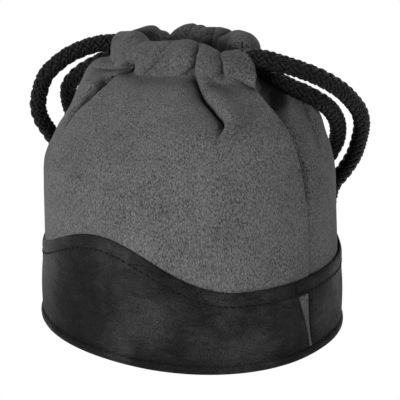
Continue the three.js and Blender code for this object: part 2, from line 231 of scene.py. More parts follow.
def smooth_line(points, step):
    """A centripetal Catmull-Rom curve through the points, sampled at even steps of its length."""
    points = np.array(points, float)
    ends = [2 * points[0] - points[1], *points, 2 * points[-1] - points[-2]]
    fine = []
    for a, b, c, d in zip(ends, ends[1:], ends[2:], ends[3:]):
        times = np.cumsum([0, *(np.linalg.norm(q - p) ** 0.5 for p, q in ((a, b), (b, c), (c, d)))])
        t = np.linspace(times[1], times[2], CURVE_SAMPLES)[:, None]
        ab = between(a, b, t, times[0], times[1])
        bc = between(b, c, t, times[1], times[2])
        cd = between(c, d, t, times[2], times[3])
        abc = between(ab, bc, t, times[0], times[2])
        bcd = between(bc, cd, t, times[1], times[3])
        fine.append(between(abc, bcd, t, times[1], times[2])[:-1])
    fine.append(points[-1:])
    return even_steps(np.concatenate(fine), step)


print("lines ready")

# %% [markdown]
# ## Helpers for tables and frames
# Many sizes of the pouch change on the way round it or on the way up. A short table of chosen rows gives
# them, and a smooth function runs through the rows. A line that something is wrapped round also needs
# directions square to it. They are carried along without twisting, so that a braid doesn't turn by itself
# at a bend.

# %% Tables and frames


def through(table):
    """A smooth function through rows of (place, value, value, ...)."""
    table = np.array(table, float)
    slopes = np.gradient(table[:, 1:], table[:, 0], axis=0)

    def at(place):
        place = np.clip(np.asarray(place, float), table[0, 0], table[-1, 0])
        i = np.clip(np.searchsorted(table[:, 0], place) - 1, 0, len(table) - 2)
        width = (table[i + 1, 0] - table[i, 0])[..., None]
        t = (place - table[i, 0])[..., None] / width
        start, stop = table[i, 1:], table[i + 1, 1:]
        return (start * (1 + 2 * t) * (1 - t) ** 2 + stop * t * t * (3 - 2 * t)
                + width * t * (1 - t) * (slopes[i] * (1 - t) - slopes[i + 1] * t))
    at.first, at.last = table[0, 0], table[-1, 0]
    return at


def carried_frames(line):
    """A line's direction at each point and two directions square to it, carried along without twisting."""
    along = unit(np.gradient(line, axis=0))
    start = np.cross(along[0], (0, 0, 1) if abs(along[0][2]) < 0.9 else (1, 0, 0))
    sides = [unit(start)]
    for direction in along[1:]:
        sides.append(unit(sides[-1] - direction * (sides[-1] @ direction)))
    sides = np.array(sides)
    return along, sides, np.cross(along, sides)


print("tables and frames ready")

# %% [markdown]
# ## Helpers for skins and pieces
# A skin is a grid of points joined into quads. Blender can loft curves too, but a grid made in code keeps
# its rows and columns, so that a later step can find a point again and move it. Each finished piece is
# told which body carries it and which CAD nodes it stands for.

# %% Skins and pieces


def grid_faces(rows, columns, wrap_rows=False, wrap_columns=False, start=0):
    """Quads between the neighbours of a grid whose points are numbered row by row."""
    i = np.arange(rows if wrap_rows else rows - 1)[:, None]
    j = np.arange(columns if wrap_columns else columns - 1)[None, :]
    below, beside = (i + 1) % rows * columns, (j + 1) % columns
    quads = np.stack([i * columns + j, i * columns + beside, below + beside, below + j], -1)
    return (quads.reshape(-1, 4) + start).tolist()


def lidded_faces(rows, columns, turned=False):
    """Faces of a skin round a section, with a lid at each end. Turned lids suit the other sense."""
    first = list(range(columns))
    last = [(rows - 1) * columns + k for k in first]
    lids = [first, last[::-1]] if turned else [first[::-1], last]
    return grid_faces(rows, columns, wrap_columns=True) + lids


def sleeve(line, across, outward, half_width, half_height, sides):
    """Points and faces of a closed skin round a line. The half sizes may change on the way."""
    turn = (2 * np.pi * np.arange(sides) / sides)[None, :, None]
    wide, high = (np.broadcast_to(half, len(line))[:, None, None] for half in (half_width, half_height))
    points = line[:, None] + np.cos(turn) * across[:, None] * wide + np.sin(turn) * outward[:, None] * high
    return points, lidded_faces(len(line), sides)


def tube(line, radius, sides):
    """A sleeve that is round."""
    _, side, up = carried_frames(line)
    return sleeve(line, side, up, radius, radius, sides)


def make_piece(name, parts, finish):
    """One mesh object from several lists of points and faces, in millimetres, with one finish."""
    points, faces, count = [], [], 0
    for part_points, part_faces in parts:
        points.append(np.asarray(part_points).reshape(-1, 3))
        faces.extend([index + count for index in face] for face in part_faces)
        count += len(points[-1])
    mesh = bpy.data.meshes.new(name)
    mesh.from_pydata((np.concatenate(points) * MM).tolist(), [], faces)
    mesh.polygons.foreach_set("use_smooth", [True] * len(mesh.polygons))
    mesh.materials.append(finish)
    mesh.validate()
    piece = bpy.data.objects.new(name, mesh)
    bpy.context.scene.collection.objects.link(piece)
    return piece


def dress(piece, slot, *nodes, body="pouch"):
    """Lets a piece ride on its body and stand for its CAD nodes. The slot is not used."""
    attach(piece, body)
    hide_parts(*nodes)
    return piece


print("skins ready")

# %% [markdown]
# ## How a finish is made
# A finish is a material whose nodes turn places on the piece into colour, gloss and relief. All of them
# are noise and cells worked out on the spot, in the pouch's own frame, so no picture has to be wrapped
# round a fold. One small class holds the node tree and the few steps that every finish takes.

# %% Making a finish


class Finish:
    """A material in the making: its nodes, its shader, and places in the pouch's own frame."""

    def __init__(self, name):
        self.material = bpy.data.materials.new(name)
        self.material.use_nodes = True
        self.tree = self.material.node_tree
        self.shader = self.tree.nodes["Principled BSDF"]
        self.place = self.node("ShaderNodeTexCoord", {}).outputs["Object"]

    def fill(self, node, sockets):
        """Gives each socket its constant value, or a link where the value is another node's output."""
        for socket, value in sockets.items():
            if isinstance(value, bpy.types.NodeSocket):
                self.tree.links.new(value, node.inputs[socket])
            else:
                node.inputs[socket].default_value = value

    def node(self, kind, sockets, **settings):
        """A new node with its settings and its filled sockets."""
        node = self.tree.nodes.new(kind)
        for setting, value in settings.items():
            setattr(node, setting, value)
        self.fill(node, sockets)
        return node

    def stretched(self, scale):
        """Places that run faster or slower along each axis."""
        return self.node("ShaderNodeMapping", {"Vector": self.place, "Scale": scale}).outputs["Vector"]

    def grain(self, place, scale, detail=2.0, roughness=0.5, distortion=0.0):
        """Noise with the given number of spots to the metre."""
        look = {"Scale": scale, "Detail": detail, "Roughness": roughness, "Distortion": distortion}
        return self.node("ShaderNodeTexNoise", {"Vector": place, **look}).outputs["Fac"]

    def shades(self, value, *stops):
        """A grey or a colour for each level of a value, from (level, grey) stops."""
        ramp = self.node("ShaderNodeValToRGB", {"Fac": value})
        elements = ramp.color_ramp.elements
        while len(elements) < len(stops):
            elements.new(0.5)
        for element, (level, grey) in zip(elements, stops):
            element.position = level
            element.color = (*grey, 1) if isinstance(grey, tuple) else (grey, grey, grey, 1)
        return ramp.outputs["Color"]

    def weighted(self, value, weight, rest):
        """A value times its weight, added to the rest."""
        sockets = {0: value, 1: weight, 2: rest}
        return self.node("ShaderNodeMath", sockets, operation="MULTIPLY_ADD").outputs[0]

    def relief(self, height, distance, strength, below=None):
        """A bump of the given height in metres, laid over another bump if there is one."""
        sockets = {"Height": height, "Distance": distance, "Strength": strength}
        if below is not None:
            sockets["Normal"] = below
        return self.node("ShaderNodeBump", sockets).outputs["Normal"]

    def done(self, **sockets):
        """Fills the shader's sockets, named with underscores, and hands over the material."""
        self.fill(self.shader, {name.replace("_", " "): value for name, value in sockets.items()})
        print("made", self.material.name)
        return self.material


print("finishes ready")

# %% [markdown]
# ## The braid's finish
# Drawcord is braided from matt polyester yarn, black, with a faint shine on the crown of each yarn. The
# yarns themselves are modelled further down, so the finish only adds fine fibres and a little unevenness.

# %% Braid finish


def braid_finish():
    braid = Finish("black_braid")
    fibres = braid.grain(braid.place, 2600, 3, 0.6)
    return braid.done(
        Base_Color=braid.shades(fibres, (0.3, 0.002), (0.7, 0.008)),
        Normal=braid.relief(fibres, 0.00012, 0.5),
        Roughness=0.42,
        Specular_IOR_Level=0.07,
        Sheen_Weight=0.03,
        Sheen_Roughness=0.4,
    )


black_braid = braid_finish()

# %% [markdown]
# ## The cords' routes
# Each casing holds one cord. Its two ends come out at the side slits, meet the ends of the other cord
# there, and go over the shoulder and down behind the pouch to a knot. The points are listed. They
# start from the solid model's and lie up to 7 mm from them, because the braid follows the photographed
# cords more closely. The right rear cord lies low at its slit, half hidden by the cloth there.

# %% Routes of the free ends
RIGHT_FRONT = [
    (24.4, -3.9, 105.2), (28.4, -2.2, 105.8), (32.4, -0.6, 105.5), (36.6, 1.4, 104.4), (42.6, 5.2, 102.2),
    (47.4, 12, 98.4), (49.4, 22.4, 92.1), (49, 32, 85.4), (47.8, 39.8, 79), (45.6, 45.6, 72.4),
    (42, 50.4, 65), (37.4, 54.6, 56.5), (31.6, 57.6, 48.4), (25, 60, 40), (22.4, 61.4, 32),
    (21.4, 62.8, 25.4), (20.8, 64, 19), (20, 65.4, 13.2), (18, 66.4, 9.8), (15, 67, 8.2),
    (11.4, 67, 8),
]
RIGHT_REAR = [
    (22.6, 6, 103), (25, 8.2, 99.4), (27.2, 9.4, 97.2), (31.4, 9.2, 95.6), (36.4, 9.8, 93.7),
    (41.2, 12, 91.7), (44.4, 15.8, 88.8), (43.8, 24, 84), (41.2, 32.6, 78.6), (38.8, 39.2, 73.6),
    (36, 44.6, 68.4), (33, 48.8, 63), (29.4, 51.8, 58), (25.2, 54, 51.6), (21.6, 55, 45),
    (19.2, 55.8, 37), (18.4, 56.6, 29), (18.4, 57.2, 22), (18.2, 58.2, 15.6), (17, 59.3, 10.8),
    (14.6, 60.1, 8.3), (11.4, 60.2, 8),
]
LEFT_FRONT = [
    (-24.2, -4.8, 101.2), (-28, -4.4, 101.9), (-32.2, -4.9, 102.5), (-37.4, -6.8, 101.6),
    (-42.8, -9.2, 99.6), (-48.4, -11.8, 96.4), (-53.2, -13.9, 92.2), (-56.6, -14.9, 88.4),
    (-59.8, -14.9, 82), (-62.6, -13.3, 74.6), (-63.4, -10.8, 69), (-63.4, -7, 63.6), (-63.4, -3.2, 58.6),
    (-64.4, 2.4, 50.4), (-65.8, 8.8, 41.4), (-67, 15.4, 32.2), (-67.6, 22, 23.6), (-67.2, 28, 16.4),
    (-65.3, 32.6, 11.5), (-62.4, 36.3, 9), (-59.6, 39.4, 8.1), (-57.7, 41.4, 8),
]
LEFT_REAR = [
    (-24.2, 4.8, 103.2), (-28, 3.6, 101), (-32, 2.2, 98.4), (-37.6, 0.3, 95.2), (-43.2, -1.2, 92),
    (-48.2, -1.9, 89), (-53, -1.9, 85.4), (-57, -1.2, 81.2), (-59.2, 0.5, 76.8), (-60.4, 2.4, 72.8),
    (-61.2, 4.6, 69), (-61.6, 7.2, 65), (-61.6, 10.4, 59.6), (-61.6, 14.4, 51.8), (-61.8, 18.4, 42.5),
    (-61.9, 22, 33), (-61.7, 25, 23.5), (-60.7, 27.8, 16), (-58.8, 30.6, 11.3), (-56.3, 33.3, 8.9),
    (-54.4, 35.4, 8.1), (-52.9, 37, 8),
]
print("routes of", [len(route) for route in (RIGHT_FRONT, RIGHT_REAR, LEFT_FRONT, LEFT_REAR)], "points")

# %% [markdown]
# ## The hems that hold the cords
# Inside a hem the cord follows the hem's own line, given as (turn, x, y, height, depth, half height) with
# the turn in degrees from the front. The line sags where the cord gathers the cloth, and the depth and
# half height grow where it puffs out. The same tables shape the cloth further down. Each cord is one line
# from knot to knot, cut at the slits afterwards, so that its braid runs on from one stretch into the
# next.

# %% Hems and whole cords
FRONT_HEM = through([
    (-80, -28.8, -4.7, 101.2, 4.9, 4.9), (-70, -26, -5, 101, 5, 5.9), (-60, -21.2, -6.5, 101.5, 5.2, 7),
    (-48, -17.8, -8.7, 101.6, 5.4, 7.1), (-40, -15.4, -10, 101.1, 5, 6.7),
    (-30, -12, -11.3, 100.4, 5.1, 6.2), (-20, -8.2, -12.2, 100.8, 5.2, 5.9),
    (-10, -4.2, -12.8, 101.6, 5.1, 6), (0, 0, -13, 102.4, 5.2, 6.2), (10, 4.2, -12.8, 103.2, 5.6, 6.4),
    (20, 8.2, -12.2, 103.9, 5.9, 6.5), (28, 11.3, -11.5, 103.5, 5.4, 6.3),
    (33, 13.1, -10.9, 102.6, 4.6, 5.8), (40, 15.4, -10, 101.9, 5.2, 5.6),
    (48, 17.8, -8.7, 101.6, 5.4, 5.6), (55, 19.7, -7.5, 101.7, 4.8, 5.4),
    (62, 21.6, -5.9, 101.8, 5.4, 5.2), (69, 24.8, -3.8, 102.1, 5.4, 5.2), (76, 27.9, -2.4, 102.3, 5.2, 5.2),
])
REAR_HEM = through([
    (104, 20.4, 3.4, 102.8, 4, 6.4), (112, 20, 4.8, 104.2, 4.7, 6.2), (120, 19.2, 6.4, 104.2, 5.2, 6.4),
    (132, 17.8, 8.4, 103.8, 5.4, 6.2), (148, 12.7, 10.8, 103.3, 5.4, 6.2), (162, 7.4, 12.4, 102.4, 4.9, 6),
    (172, 3.3, 12.9, 102.4, 5, 6), (184, -1.7, 13, 102.8, 5.4, 6.2), (196, -6.6, 12.5, 103, 5.4, 6),
    (208, -11.3, 11.5, 102.6, 5.2, 6), (218, -14.8, 10.2, 101.2, 5, 5.6), (226, -17.3, 9, 99.8, 4.6, 5.2),
    (234, -19.4, 7.6, 100, 5, 5.4), (246, -21.9, 5.3, 101.4, 5.2, 5.8), (254, -28, 3.8, 99.8, 5, 5.6),
    (262, -34, 2, 96.6, 4.8, 5.2),
])
SLIT_POINT = 1
HELD_REACH = 58
HELD_POINTS = 17
BRAID_STEP = 0.55


def held_arc(hem, middle):
    """The stretch of a cord inside its hem, at the height of the hem's middle."""
    turns = middle - np.linspace(-HELD_REACH, HELD_REACH, HELD_POINTS)
    return hem(turns)[:, :3].tolist()


def nearest(line, point):
    """The number of the line's point that is nearest to a given one."""
    return int(np.argmin(np.linalg.norm(line - np.array(point), axis=1)))


def cord_line(first_end, arc, last_end):
    """A whole cord, and the places on it where it leaves the first and the last slit."""
    line = smooth_line([*first_end[::-1], *arc, *last_end], BRAID_STEP)
    return line, nearest(line, first_end[SLIT_POINT]), nearest(line, last_end[SLIT_POINT])


front_cord = cord_line(RIGHT_FRONT, held_arc(FRONT_HEM, 0), LEFT_FRONT)
rear_cord = cord_line(LEFT_REAR, held_arc(REAR_HEM, 180), RIGHT_REAR)
for cord_name, cord in (("front", front_cord), ("rear", rear_cord)):
    print(cord_name, "cord", round(float(distances(cord[0])[-1])), "mm from knot to knot")

# %% [markdown]
# ## Braiding the cords
# The cord is a diamond braid: four bundles of yarn spiral one way and four the other way, each passing
# over one and under the next. Bump could fake it, but the bundles show on the cord's outline, so each is
# made of two flattened tubes side by side. They wind round the cord's line and rise and sink as they
# cross the others. A plain core keeps light from passing between them.

# %% Braid
CORD_DIAMETER = 6
BUNDLES_EACH_WAY = 4
LANES = (-0.5, 0.5)
BRAID_CIRCLE = 2.4
BRAID_DEPTH = 0.4
LAY_PER_MM = 0.34
YARN_SPACING = 1.4
YARN_WIDTH = 1.46
YARN_THICKNESS = 1.05
YARN_DROP = 0.1
YARN_SIDES = 6
CORE_RADIUS = 2.3
CORE_SIDES = 10


def yarn(line, frames, distance, number, way, lane, squeeze):
    """One yarn of a bundle: points and faces of a flattened tube that goes over one and under one."""
    _, side, up = frames
    turn = 2 * np.pi * number / BUNDLES_EACH_WAY + way * LAY_PER_MM * distance
    weave = way * np.cos(BUNDLES_EACH_WAY * LAY_PER_MM * distance)
    outward = np.cos(turn)[:, None] * side + np.sin(turn)[:, None] * up
    reach = BRAID_CIRCLE + BRAID_DEPTH * weave - YARN_DROP * abs(lane)
    middle = line + outward * (reach * squeeze)[:, None]
    across = unit(np.cross(outward, np.gradient(middle, axis=0)))
    middle = middle + across * (lane * YARN_SPACING * squeeze)[:, None]
    half_sizes = YARN_WIDTH / 2 * squeeze, YARN_THICKNESS / 2 * squeeze
    return sleeve(middle, across, outward, *half_sizes, YARN_SIDES)


def braided(line, frames, distance, squeeze=1.0):
    """All yarns of a stretch of cord and its core."""
    squeeze = np.broadcast_to(squeeze, len(line)).astype(float)
    parts = [tube(line, CORE_RADIUS * squeeze, CORE_SIDES)]
    for number in range(BUNDLES_EACH_WAY):
        for way in (1, -1):
            for lane in LANES:
                parts.append(yarn(line, frames, distance, number, way, lane, squeeze))
    return parts


def cord_stretch(name, cord, first, last):
    """A braided piece of a whole cord between two of its places, with the line that it follows."""
    stretch = slice(first, last + 1)
    line = cord[0][stretch]
    frames = [part[stretch] for part in carried_frames(cord[0])]
    distance = np.arange(first, last + 1) * BRAID_STEP
    return make_piece(name, braided(line, frames, distance), black_braid), line


front_run, _ = cord_stretch("front_cord_in_casing", front_cord, front_cord[1], front_cord[2])
rear_run, _ = cord_stretch("rear_cord_in_casing", rear_cord, rear_cord[1], rear_cord[2])
dress(front_run, "cord", "front_cord_run")
dress(rear_run, "cord", "rear_cord_run")
right_front = cord_stretch("right_front_cord_end", front_cord, 0, front_cord[1])
left_front = cord_stretch("left_front_cord_end", front_cord, front_cord[2], len(front_cord[0]) - 1)
left_rear = cord_stretch("left_rear_cord_end", rear_cord, 0, rear_cord[1])
right_rear = cord_stretch("right_rear_cord_end", rear_cord, rear_cord[2], len(rear_cord[0]) - 1)
print("braided", len(front_run.data.vertices) + len(rear_run.data.vertices), "points in the casings")

# %% [markdown]
# ## The knots
# At each side the two cord ends are tied together and the tails are cut short. The usual knot wraps one
# end round both and draws it tight, which gives a barrel of three turns. So the knot is the same braid,
# pressed a little thinner, on a helix along the barrel, with two straight tails that come out of its far
# end.

# %% Lines of a knot
KNOT_TURNS = 3.2
KNOT_RADIUS = 4.75
KNOT_SQUEEZE = 0.84
KNOT_SAMPLES = 160
KNOT_HEIGHT = 8
BARREL_TAPER = 0.07
WRAP_TUCK = 0.55
ENTRY_SPREAD = 3.0
ENTRY_LEAD = 0.6
TAIL_LENGTH = 9
TAIL_UNEVENNESS = 0.12
TAIL_SPREAD = 1.9
TAIL_FLARE = 1.2
TAIL_SAG = 0.4
TIP_SPREAD = 4.5
TIP_HEIGHT = CORD_DIAMETER / 2 + 0.25


def knot_wraps(enter, leave, axis, level):
    """The line of the turns round the barrel, with both its ends tucked in."""
    inset = CORD_DIAMETER * KNOT_SQUEEZE / 2
    barrel = np.linalg.norm(leave - enter)
    share = np.linspace(0, 1, KNOT_SAMPLES)
    turn = 2 * np.pi * KNOT_TURNS * share + np.pi / 2
    reach = KNOT_RADIUS * (1 - BARREL_TAPER + BARREL_TAPER * np.sin(np.pi * share))
    wraps = enter + axis * (inset + (barrel - 2 * inset) * share)[:, None]
    wraps = wraps + level * (np.cos(turn) * reach)[:, None]
    wraps = wraps + np.array((0, 0, 1)) * (np.sin(turn) * reach)[:, None]
    lead = wraps[0] * (1 - WRAP_TUCK) + (enter + axis * inset) * WRAP_TUCK
    tuck = wraps[-1] * (1 - WRAP_TUCK) + (leave - axis * inset) * WRAP_TUCK
    return even_steps(np.concatenate([[lead], wraps, [tuck]]), BRAID_STEP)


def knot_tail(enter, leave, axis, level, sign):
    """The line of one cord through the barrel and out to the tip of its tail, which lies on the floor."""
    lead_in = enter + level * sign * ENTRY_SPREAD - axis * ENTRY_LEAD
    core = (enter + leave) / 2 + level * sign * TAIL_SPREAD
    out = leave + level * sign * TAIL_SPREAD * TAIL_FLARE
    tip = leave + axis * TAIL_LENGTH * (1 - TAIL_UNEVENNESS * sign) + level * sign * TIP_SPREAD
    tip[2] = TIP_HEIGHT
    bend = (out + tip) / 2
    bend[2] = (KNOT_HEIGHT + TIP_HEIGHT) / 2 - TAIL_SAG
    return smooth_line([lead_in, core, out, bend, tip], BRAID_STEP)


print("knots of", KNOT_TURNS, "turns")

# %% [markdown]
# ## Tying the knots
# Both knots lie on the floor behind the pouch. Each is given by the place where the cords enter and the
# place where the tails leave. Inside the barrel the cords are pressed thin, and they open up again as
# tails.

# %% Knots
TAIL_SQUEEZE = 0.78
TAIL_OPENING = 5
RIGHT_KNOT = [(11, 63.6), (-7, 63.6)]
LEFT_KNOT = [(-55, 39.5), (-43, 52.5)]


def braid_along(line, squeeze):
    """A braid on a line of its own."""
    return braided(line, carried_frames(line), np.arange(len(line)) * BRAID_STEP, squeeze)


def tied_knot(name, ends, node, body):
    """A barrel knot from the place where the cords enter to the place where the tails leave."""
    enter, leave = (np.array([*end, KNOT_HEIGHT], float) for end in ends)
    axis = unit(leave - enter)
    level = np.cross((0, 0, 1), axis)
    parts = braid_along(knot_wraps(enter, leave, axis, level), KNOT_SQUEEZE)
    for sign in (1, -1):
        tail = knot_tail(enter, leave, axis, level, sign)
        outside = np.clip((tail - leave) @ axis / TAIL_OPENING, 0, 1)
        parts.extend(braid_along(tail, TAIL_SQUEEZE + (1 - TAIL_SQUEEZE) * soft_step(outside)))
    return dress(make_piece(name, parts, black_braid), "cord", node, body=body)


right_tied = tied_knot("right_tied_knot", RIGHT_KNOT, "right_knot", "right_cord_ends")
left_tied = tied_knot("left_tied_knot", LEFT_KNOT, "left_knot", "left_cord_ends")
print("tied", right_tied.name, left_tied.name)

# %% [markdown]
# ## The free cord ends
# When a knot is pulled, its two cord ends feed out of the casing. Here each free end only has its
# transform baked into its mesh, and the CAD strand that it stands for is hidden.


def free_end(end, node):
    """Bakes one free cord end's transform into its mesh and hides the CAD strand that it stands for."""
    piece, line = end
    if line[0][2] < line[-1][2]:
        line = line[::-1]
    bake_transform(piece)
    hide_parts(node)


free_end(right_front, "front_cord_right_strand")
free_end(right_rear, "rear_cord_right_strand")
free_end(left_front, "front_cord_left_strand")
free_end(left_rear, "rear_cord_left_strand")

# %% [markdown]
# ## The cloth's plain shape
# The body is two panels of soft suede-like cloth, sewn together at the sides. They stand straight up from
# the band, lean in over the shoulder and end in a hem that holds the cord. A cloth simulation could drape
# them, but it wouldn't lay each fold where the real one lies. So the shape is lofted from a turn round
# the pouch and a climb: 0 to 1 is the wall, 1 to 2 the shoulder, and 2 to 3 goes round the hem.

# %% Plan and shoulder
WALL_HALF = (55.1, 49.1)
PLAN_POWER = 2.15
LEFT_SLOPE = [(1, 0), (0.985, 0.1), (0.89, 0.25), (0.695, 0.505), (0.535, 0.735), (0.42, 0.88),
              (0.22, 0.975), (0, 1)]
RIGHT_SLOPE = [(1, 0), (0.99, 0.12), (0.955, 0.24), (0.905, 0.355), (0.815, 0.535), (0.735, 0.645),
               (0.655, 0.71), (0.55, 0.78), (0.43, 0.845), (0.24, 0.935), (0, 1)]
SLOPE_SCALE = (33, 41)
SLOPE_STEP = 0.25


def oval(turn, half, power):
    """The plan at a turn, an oval that is fuller than an ellipse."""
    s, c = np.sin(turn), np.cos(turn)
    x = half[0] * np.sign(s) * np.abs(s) ** (2 / power)
    y = -half[1] * np.sign(c) * np.abs(c) ** (2 / power)
    return np.stack([x, y], -1)


def slope_line(stops):
    """A smooth shoulder through (share of the way out, share of the way up) stops."""
    return smooth_line([(out * SLOPE_SCALE[0], up * SLOPE_SCALE[1], 0) for out, up in stops], SLOPE_STEP)


def on_slope(line, climb):
    """How far out and how far up the shoulder is at a climb, as shares."""
    at = np.clip(climb - 1, 0, 1) * (len(line) - 1)
    return [np.interp(at, np.arange(len(line)), line[:, k]) / SLOPE_SCALE[k] for k in (0, 1)]


left_slope, right_slope = slope_line(LEFT_SLOPE), slope_line(RIGHT_SLOPE)
print("slopes", len(left_slope), len(right_slope), "points")

# %% [markdown]
# ## From wall to hem
# At each turn the cloth goes up the wall, along the shoulder's slope to the neck, and round the hem,
# whose section is a small oval. At the hem's ends the section is drawn shut round the cord. The right
# side leans in more than the left.

# %% Points of the plain cloth
MOUTH_HALF = (24, 13)
CLOTH_FOOT = 24
SHOULDER_HEIGHT = 58
RIGHT_LEAN = (0.4, 2.3)
HEM_START = math.radians(-50)
HEM_STOP = math.radians(250)
HEM_DROOP = 1.2
SHUT_TURN = 14


def cloth_point(turn, climb, hem):
    """A point of the plain cloth. The hem gives its own middle, depth and half height at each turn."""
    x, y, middle, deep, high = np.moveaxis(hem(turn), -1, 0)
    ring = np.stack([x, y], -1)
    from_end = np.minimum(turn - hem.first, hem.last - turn)
    shut = 1 - np.sqrt(1 - np.clip(1 - from_end / SHUT_TURN, 0, 1) ** 2)
    turn = np.radians(turn)
    outward = unit(np.stack([np.sin(turn) * MOUTH_HALF[1], -np.cos(turn) * MOUTH_HALF[0]], -1))
    around = HEM_START + np.clip(climb - 2, 0, 1) * (HEM_STOP - HEM_START)
    across = np.cos(around) * (1 - shut * np.clip(1 - around / HEM_START, 0, 1))
    hem_plan = ring + outward * (deep * across)[..., None]
    hem_height = middle + high * np.where(around < 0, HEM_DROOP, 1) * np.sin(around)
    neck = ring + outward * (deep * math.cos(HEM_START))[..., None]
    neck_height = middle + HEM_DROOP * high * math.sin(HEM_START)
    rightness = 0.5 + 0.5 * np.sin(turn)
    left, right = on_slope(left_slope, climb), on_slope(right_slope, climb)
    pull, rise = (a + (b - a) * rightness for a, b in zip(left, right))
    lean = rightness * (RIGHT_LEAN[0] + (RIGHT_LEAN[1] - RIGHT_LEAN[0]) * np.clip(climb, 0, 1))
    wall = oval(turn, WALL_HALF, PLAN_POWER)
    wall = wall - unit(wall) * lean[..., None]
    plan = neck + pull[..., None] * (wall - neck)
    height = SHOULDER_HEIGHT + rise * (neck_height - SHOULDER_HEIGHT)
    height = np.where(climb < 1, CLOTH_FOOT + (SHOULDER_HEIGHT - CLOTH_FOOT) * climb, height)
    plan = np.where((climb > 2)[..., None], hem_plan, plan)
    return np.concatenate([plan, np.where(climb > 2, hem_height, height)[..., None]], -1)


print("cloth from", CLOTH_FOOT, "mm up, shoulder from", SHOULDER_HEIGHT)

# %% [markdown]
# ## Folds, hollows and lumps
# Pulling a cord pushes the hem together into puffs, and between the puffs the cloth folds in. A fold is a
# line on the cloth, walked from the hem downwards or from left to right. On one side the cloth stands up
# as a roll, on the other it sinks away, and the roll may reach over the hollow as a real fold does. A
# large hollow is a line too, pushed in one direction by a profile across it. Lumps are soft noise all
# over the upper cloth.

# %% Routes on a cloth
FOLD_STEP = 0.8


def surface_normals(points):
    """The way out of a cloth at each point of its grid."""
    return unit(np.cross(np.gradient(points, axis=0), np.gradient(points, axis=1)))


def on_route(points, normals, route):
    """The spots of a route on a cloth, the way out of the cloth there, and the strength at each."""
    rows, columns, strengths = (list(column) for column in zip(*route))
    return points[rows, columns], normals[rows, columns], np.array(strengths)


def beside_line(points, line, widest):
    """Which points lie near a line, the place on it that is nearest to each, and the way from there."""
    flat = points.reshape(-1, 3)
    near = np.flatnonzero(np.all((flat > line.min(0) - widest) & (flat < line.max(0) + widest), axis=1))
    gaps = flat[near, None] - line[None]
    place = np.argmin((gaps ** 2).sum(-1), axis=1)
    return near, place, gaps[np.arange(len(near)), place]


print("routes ready")

# %% [markdown]
# ## Folds
# The cloth near a fold's line is moved along its own normal: up on one side, down on the other, with a
# steep step between. A sideways slip then pulls both sides towards the line, which closes the fold.

# %% Folds
FOLD_WIDTHS = 3
FOLD_END_FADE = 2.5
FOLD_STEEPNESS = 0.55
SLIP_REACH = 1.6
SLIP_START = 0.3


def fold_field(points, normals, route, lift, lift_width, sink, sink_width, reach):
    """How far one fold moves each point of a cloth."""
    spots, out, force = on_route(points, normals, route)
    line = smooth_line(spots, FOLD_STEP)
    keys = distances(spots) / distances(spots)[-1]
    share = np.linspace(0, 1, len(line))
    out = unit(np.stack([np.interp(share, keys, out[:, k]) for k in range(3)], 1))
    force = np.interp(share, keys, force)
    side = unit(np.cross(out, np.gradient(line, axis=0)))
    near, place, gap = beside_line(points, line, FOLD_WIDTHS * max(lift_width, sink_width))
    across = (gap * side[place]).sum(-1)
    beyond = np.sqrt(np.maximum((gap ** 2).sum(-1) - across ** 2, 0))
    strength = force[place] * np.exp(-(beyond / FOLD_END_FADE) ** 2)
    roll = lift * np.exp(-(np.maximum(across, 0) / lift_width) ** 2)
    hollow = -sink * np.exp(-(np.minimum(across, 0) / sink_width) ** 2)
    step = 0.5 + 0.5 * np.tanh(across / FOLD_STEEPNESS)
    rise = strength * (roll * step + hollow * (1 - step))
    fading = np.exp(-np.abs(across) / SLIP_REACH) * np.tanh(np.abs(across) / SLIP_START)
    slip = -reach * strength * np.sign(across) * fading
    moved = np.zeros((points.size // 3, 3))
    moved[near] = out[place] * rise[:, None] + side[place] * slip[:, None]
    return moved.reshape(points.shape)


print("folds ready")

# %% [markdown]
# ## Hollows and lumps
# A hollow is too wide to move along normals that point every way, so all of its points move in one
# direction, as if a thumb had pushed the cloth in. Lumps come from noise, in the sizes that handled cloth
# shows.

# %% Hollows and lumps
PUSH_FROM = np.array((0.55, -0.76, 0.34))


def pushed_field(points, normals, route, profile):
    """How far a hollow moves each point: a line on the cloth, pushed in from the front right and above."""
    spots, out, force = on_route(points, normals, route)
    line = smooth_line(spots, FOLD_STEP)
    keys = np.array([nearest(line, spot) for spot in spots])
    steps = np.arange(len(line))
    out = np.stack([np.interp(steps, keys, out[:, k]) for k in range(3)], 1)
    force = np.interp(steps, keys, force)
    side = unit(np.cross(out, np.gradient(line, axis=0)))
    near, place, gap = beside_line(points, line, max(-profile.first, profile.last))
    signed = np.linalg.norm(gap, axis=1) * np.sign((gap * side[place]).sum(-1))
    moved = np.zeros((points.size // 3, 3))
    moved[near] = PUSH_FROM * (force[place] * profile(signed)[:, 0])[:, None]
    return moved.reshape(points.shape)


def lumps(points, normals, size, height):
    """Soft unevenness, as cloth has that was packed and handled."""
    flat = points.reshape(-1, 3) / size
    rise = np.array([noise.noise(Vector(p)) for p in flat]).reshape(points.shape[:2])
    return normals * (rise * height)[..., None]


print("hollows and lumps ready")

# %% [markdown]
# ## The suede's finish
# The cloth is a knitted suede: a short brushed nap, mottled because the fibres lie this way and that. The
# mottle is fine noise in two sizes, and the nap catches light at grazing angles, which the sheen stands
# for. Over the hem, above a set height, the colour is painted darker, as painted shade.

# %% Suede finish
HEM_LEVELS = (0.094, 0.102)
HEM_PAINTED_SHADE = 0.8
CLOUD_WEIGHT = 0.16


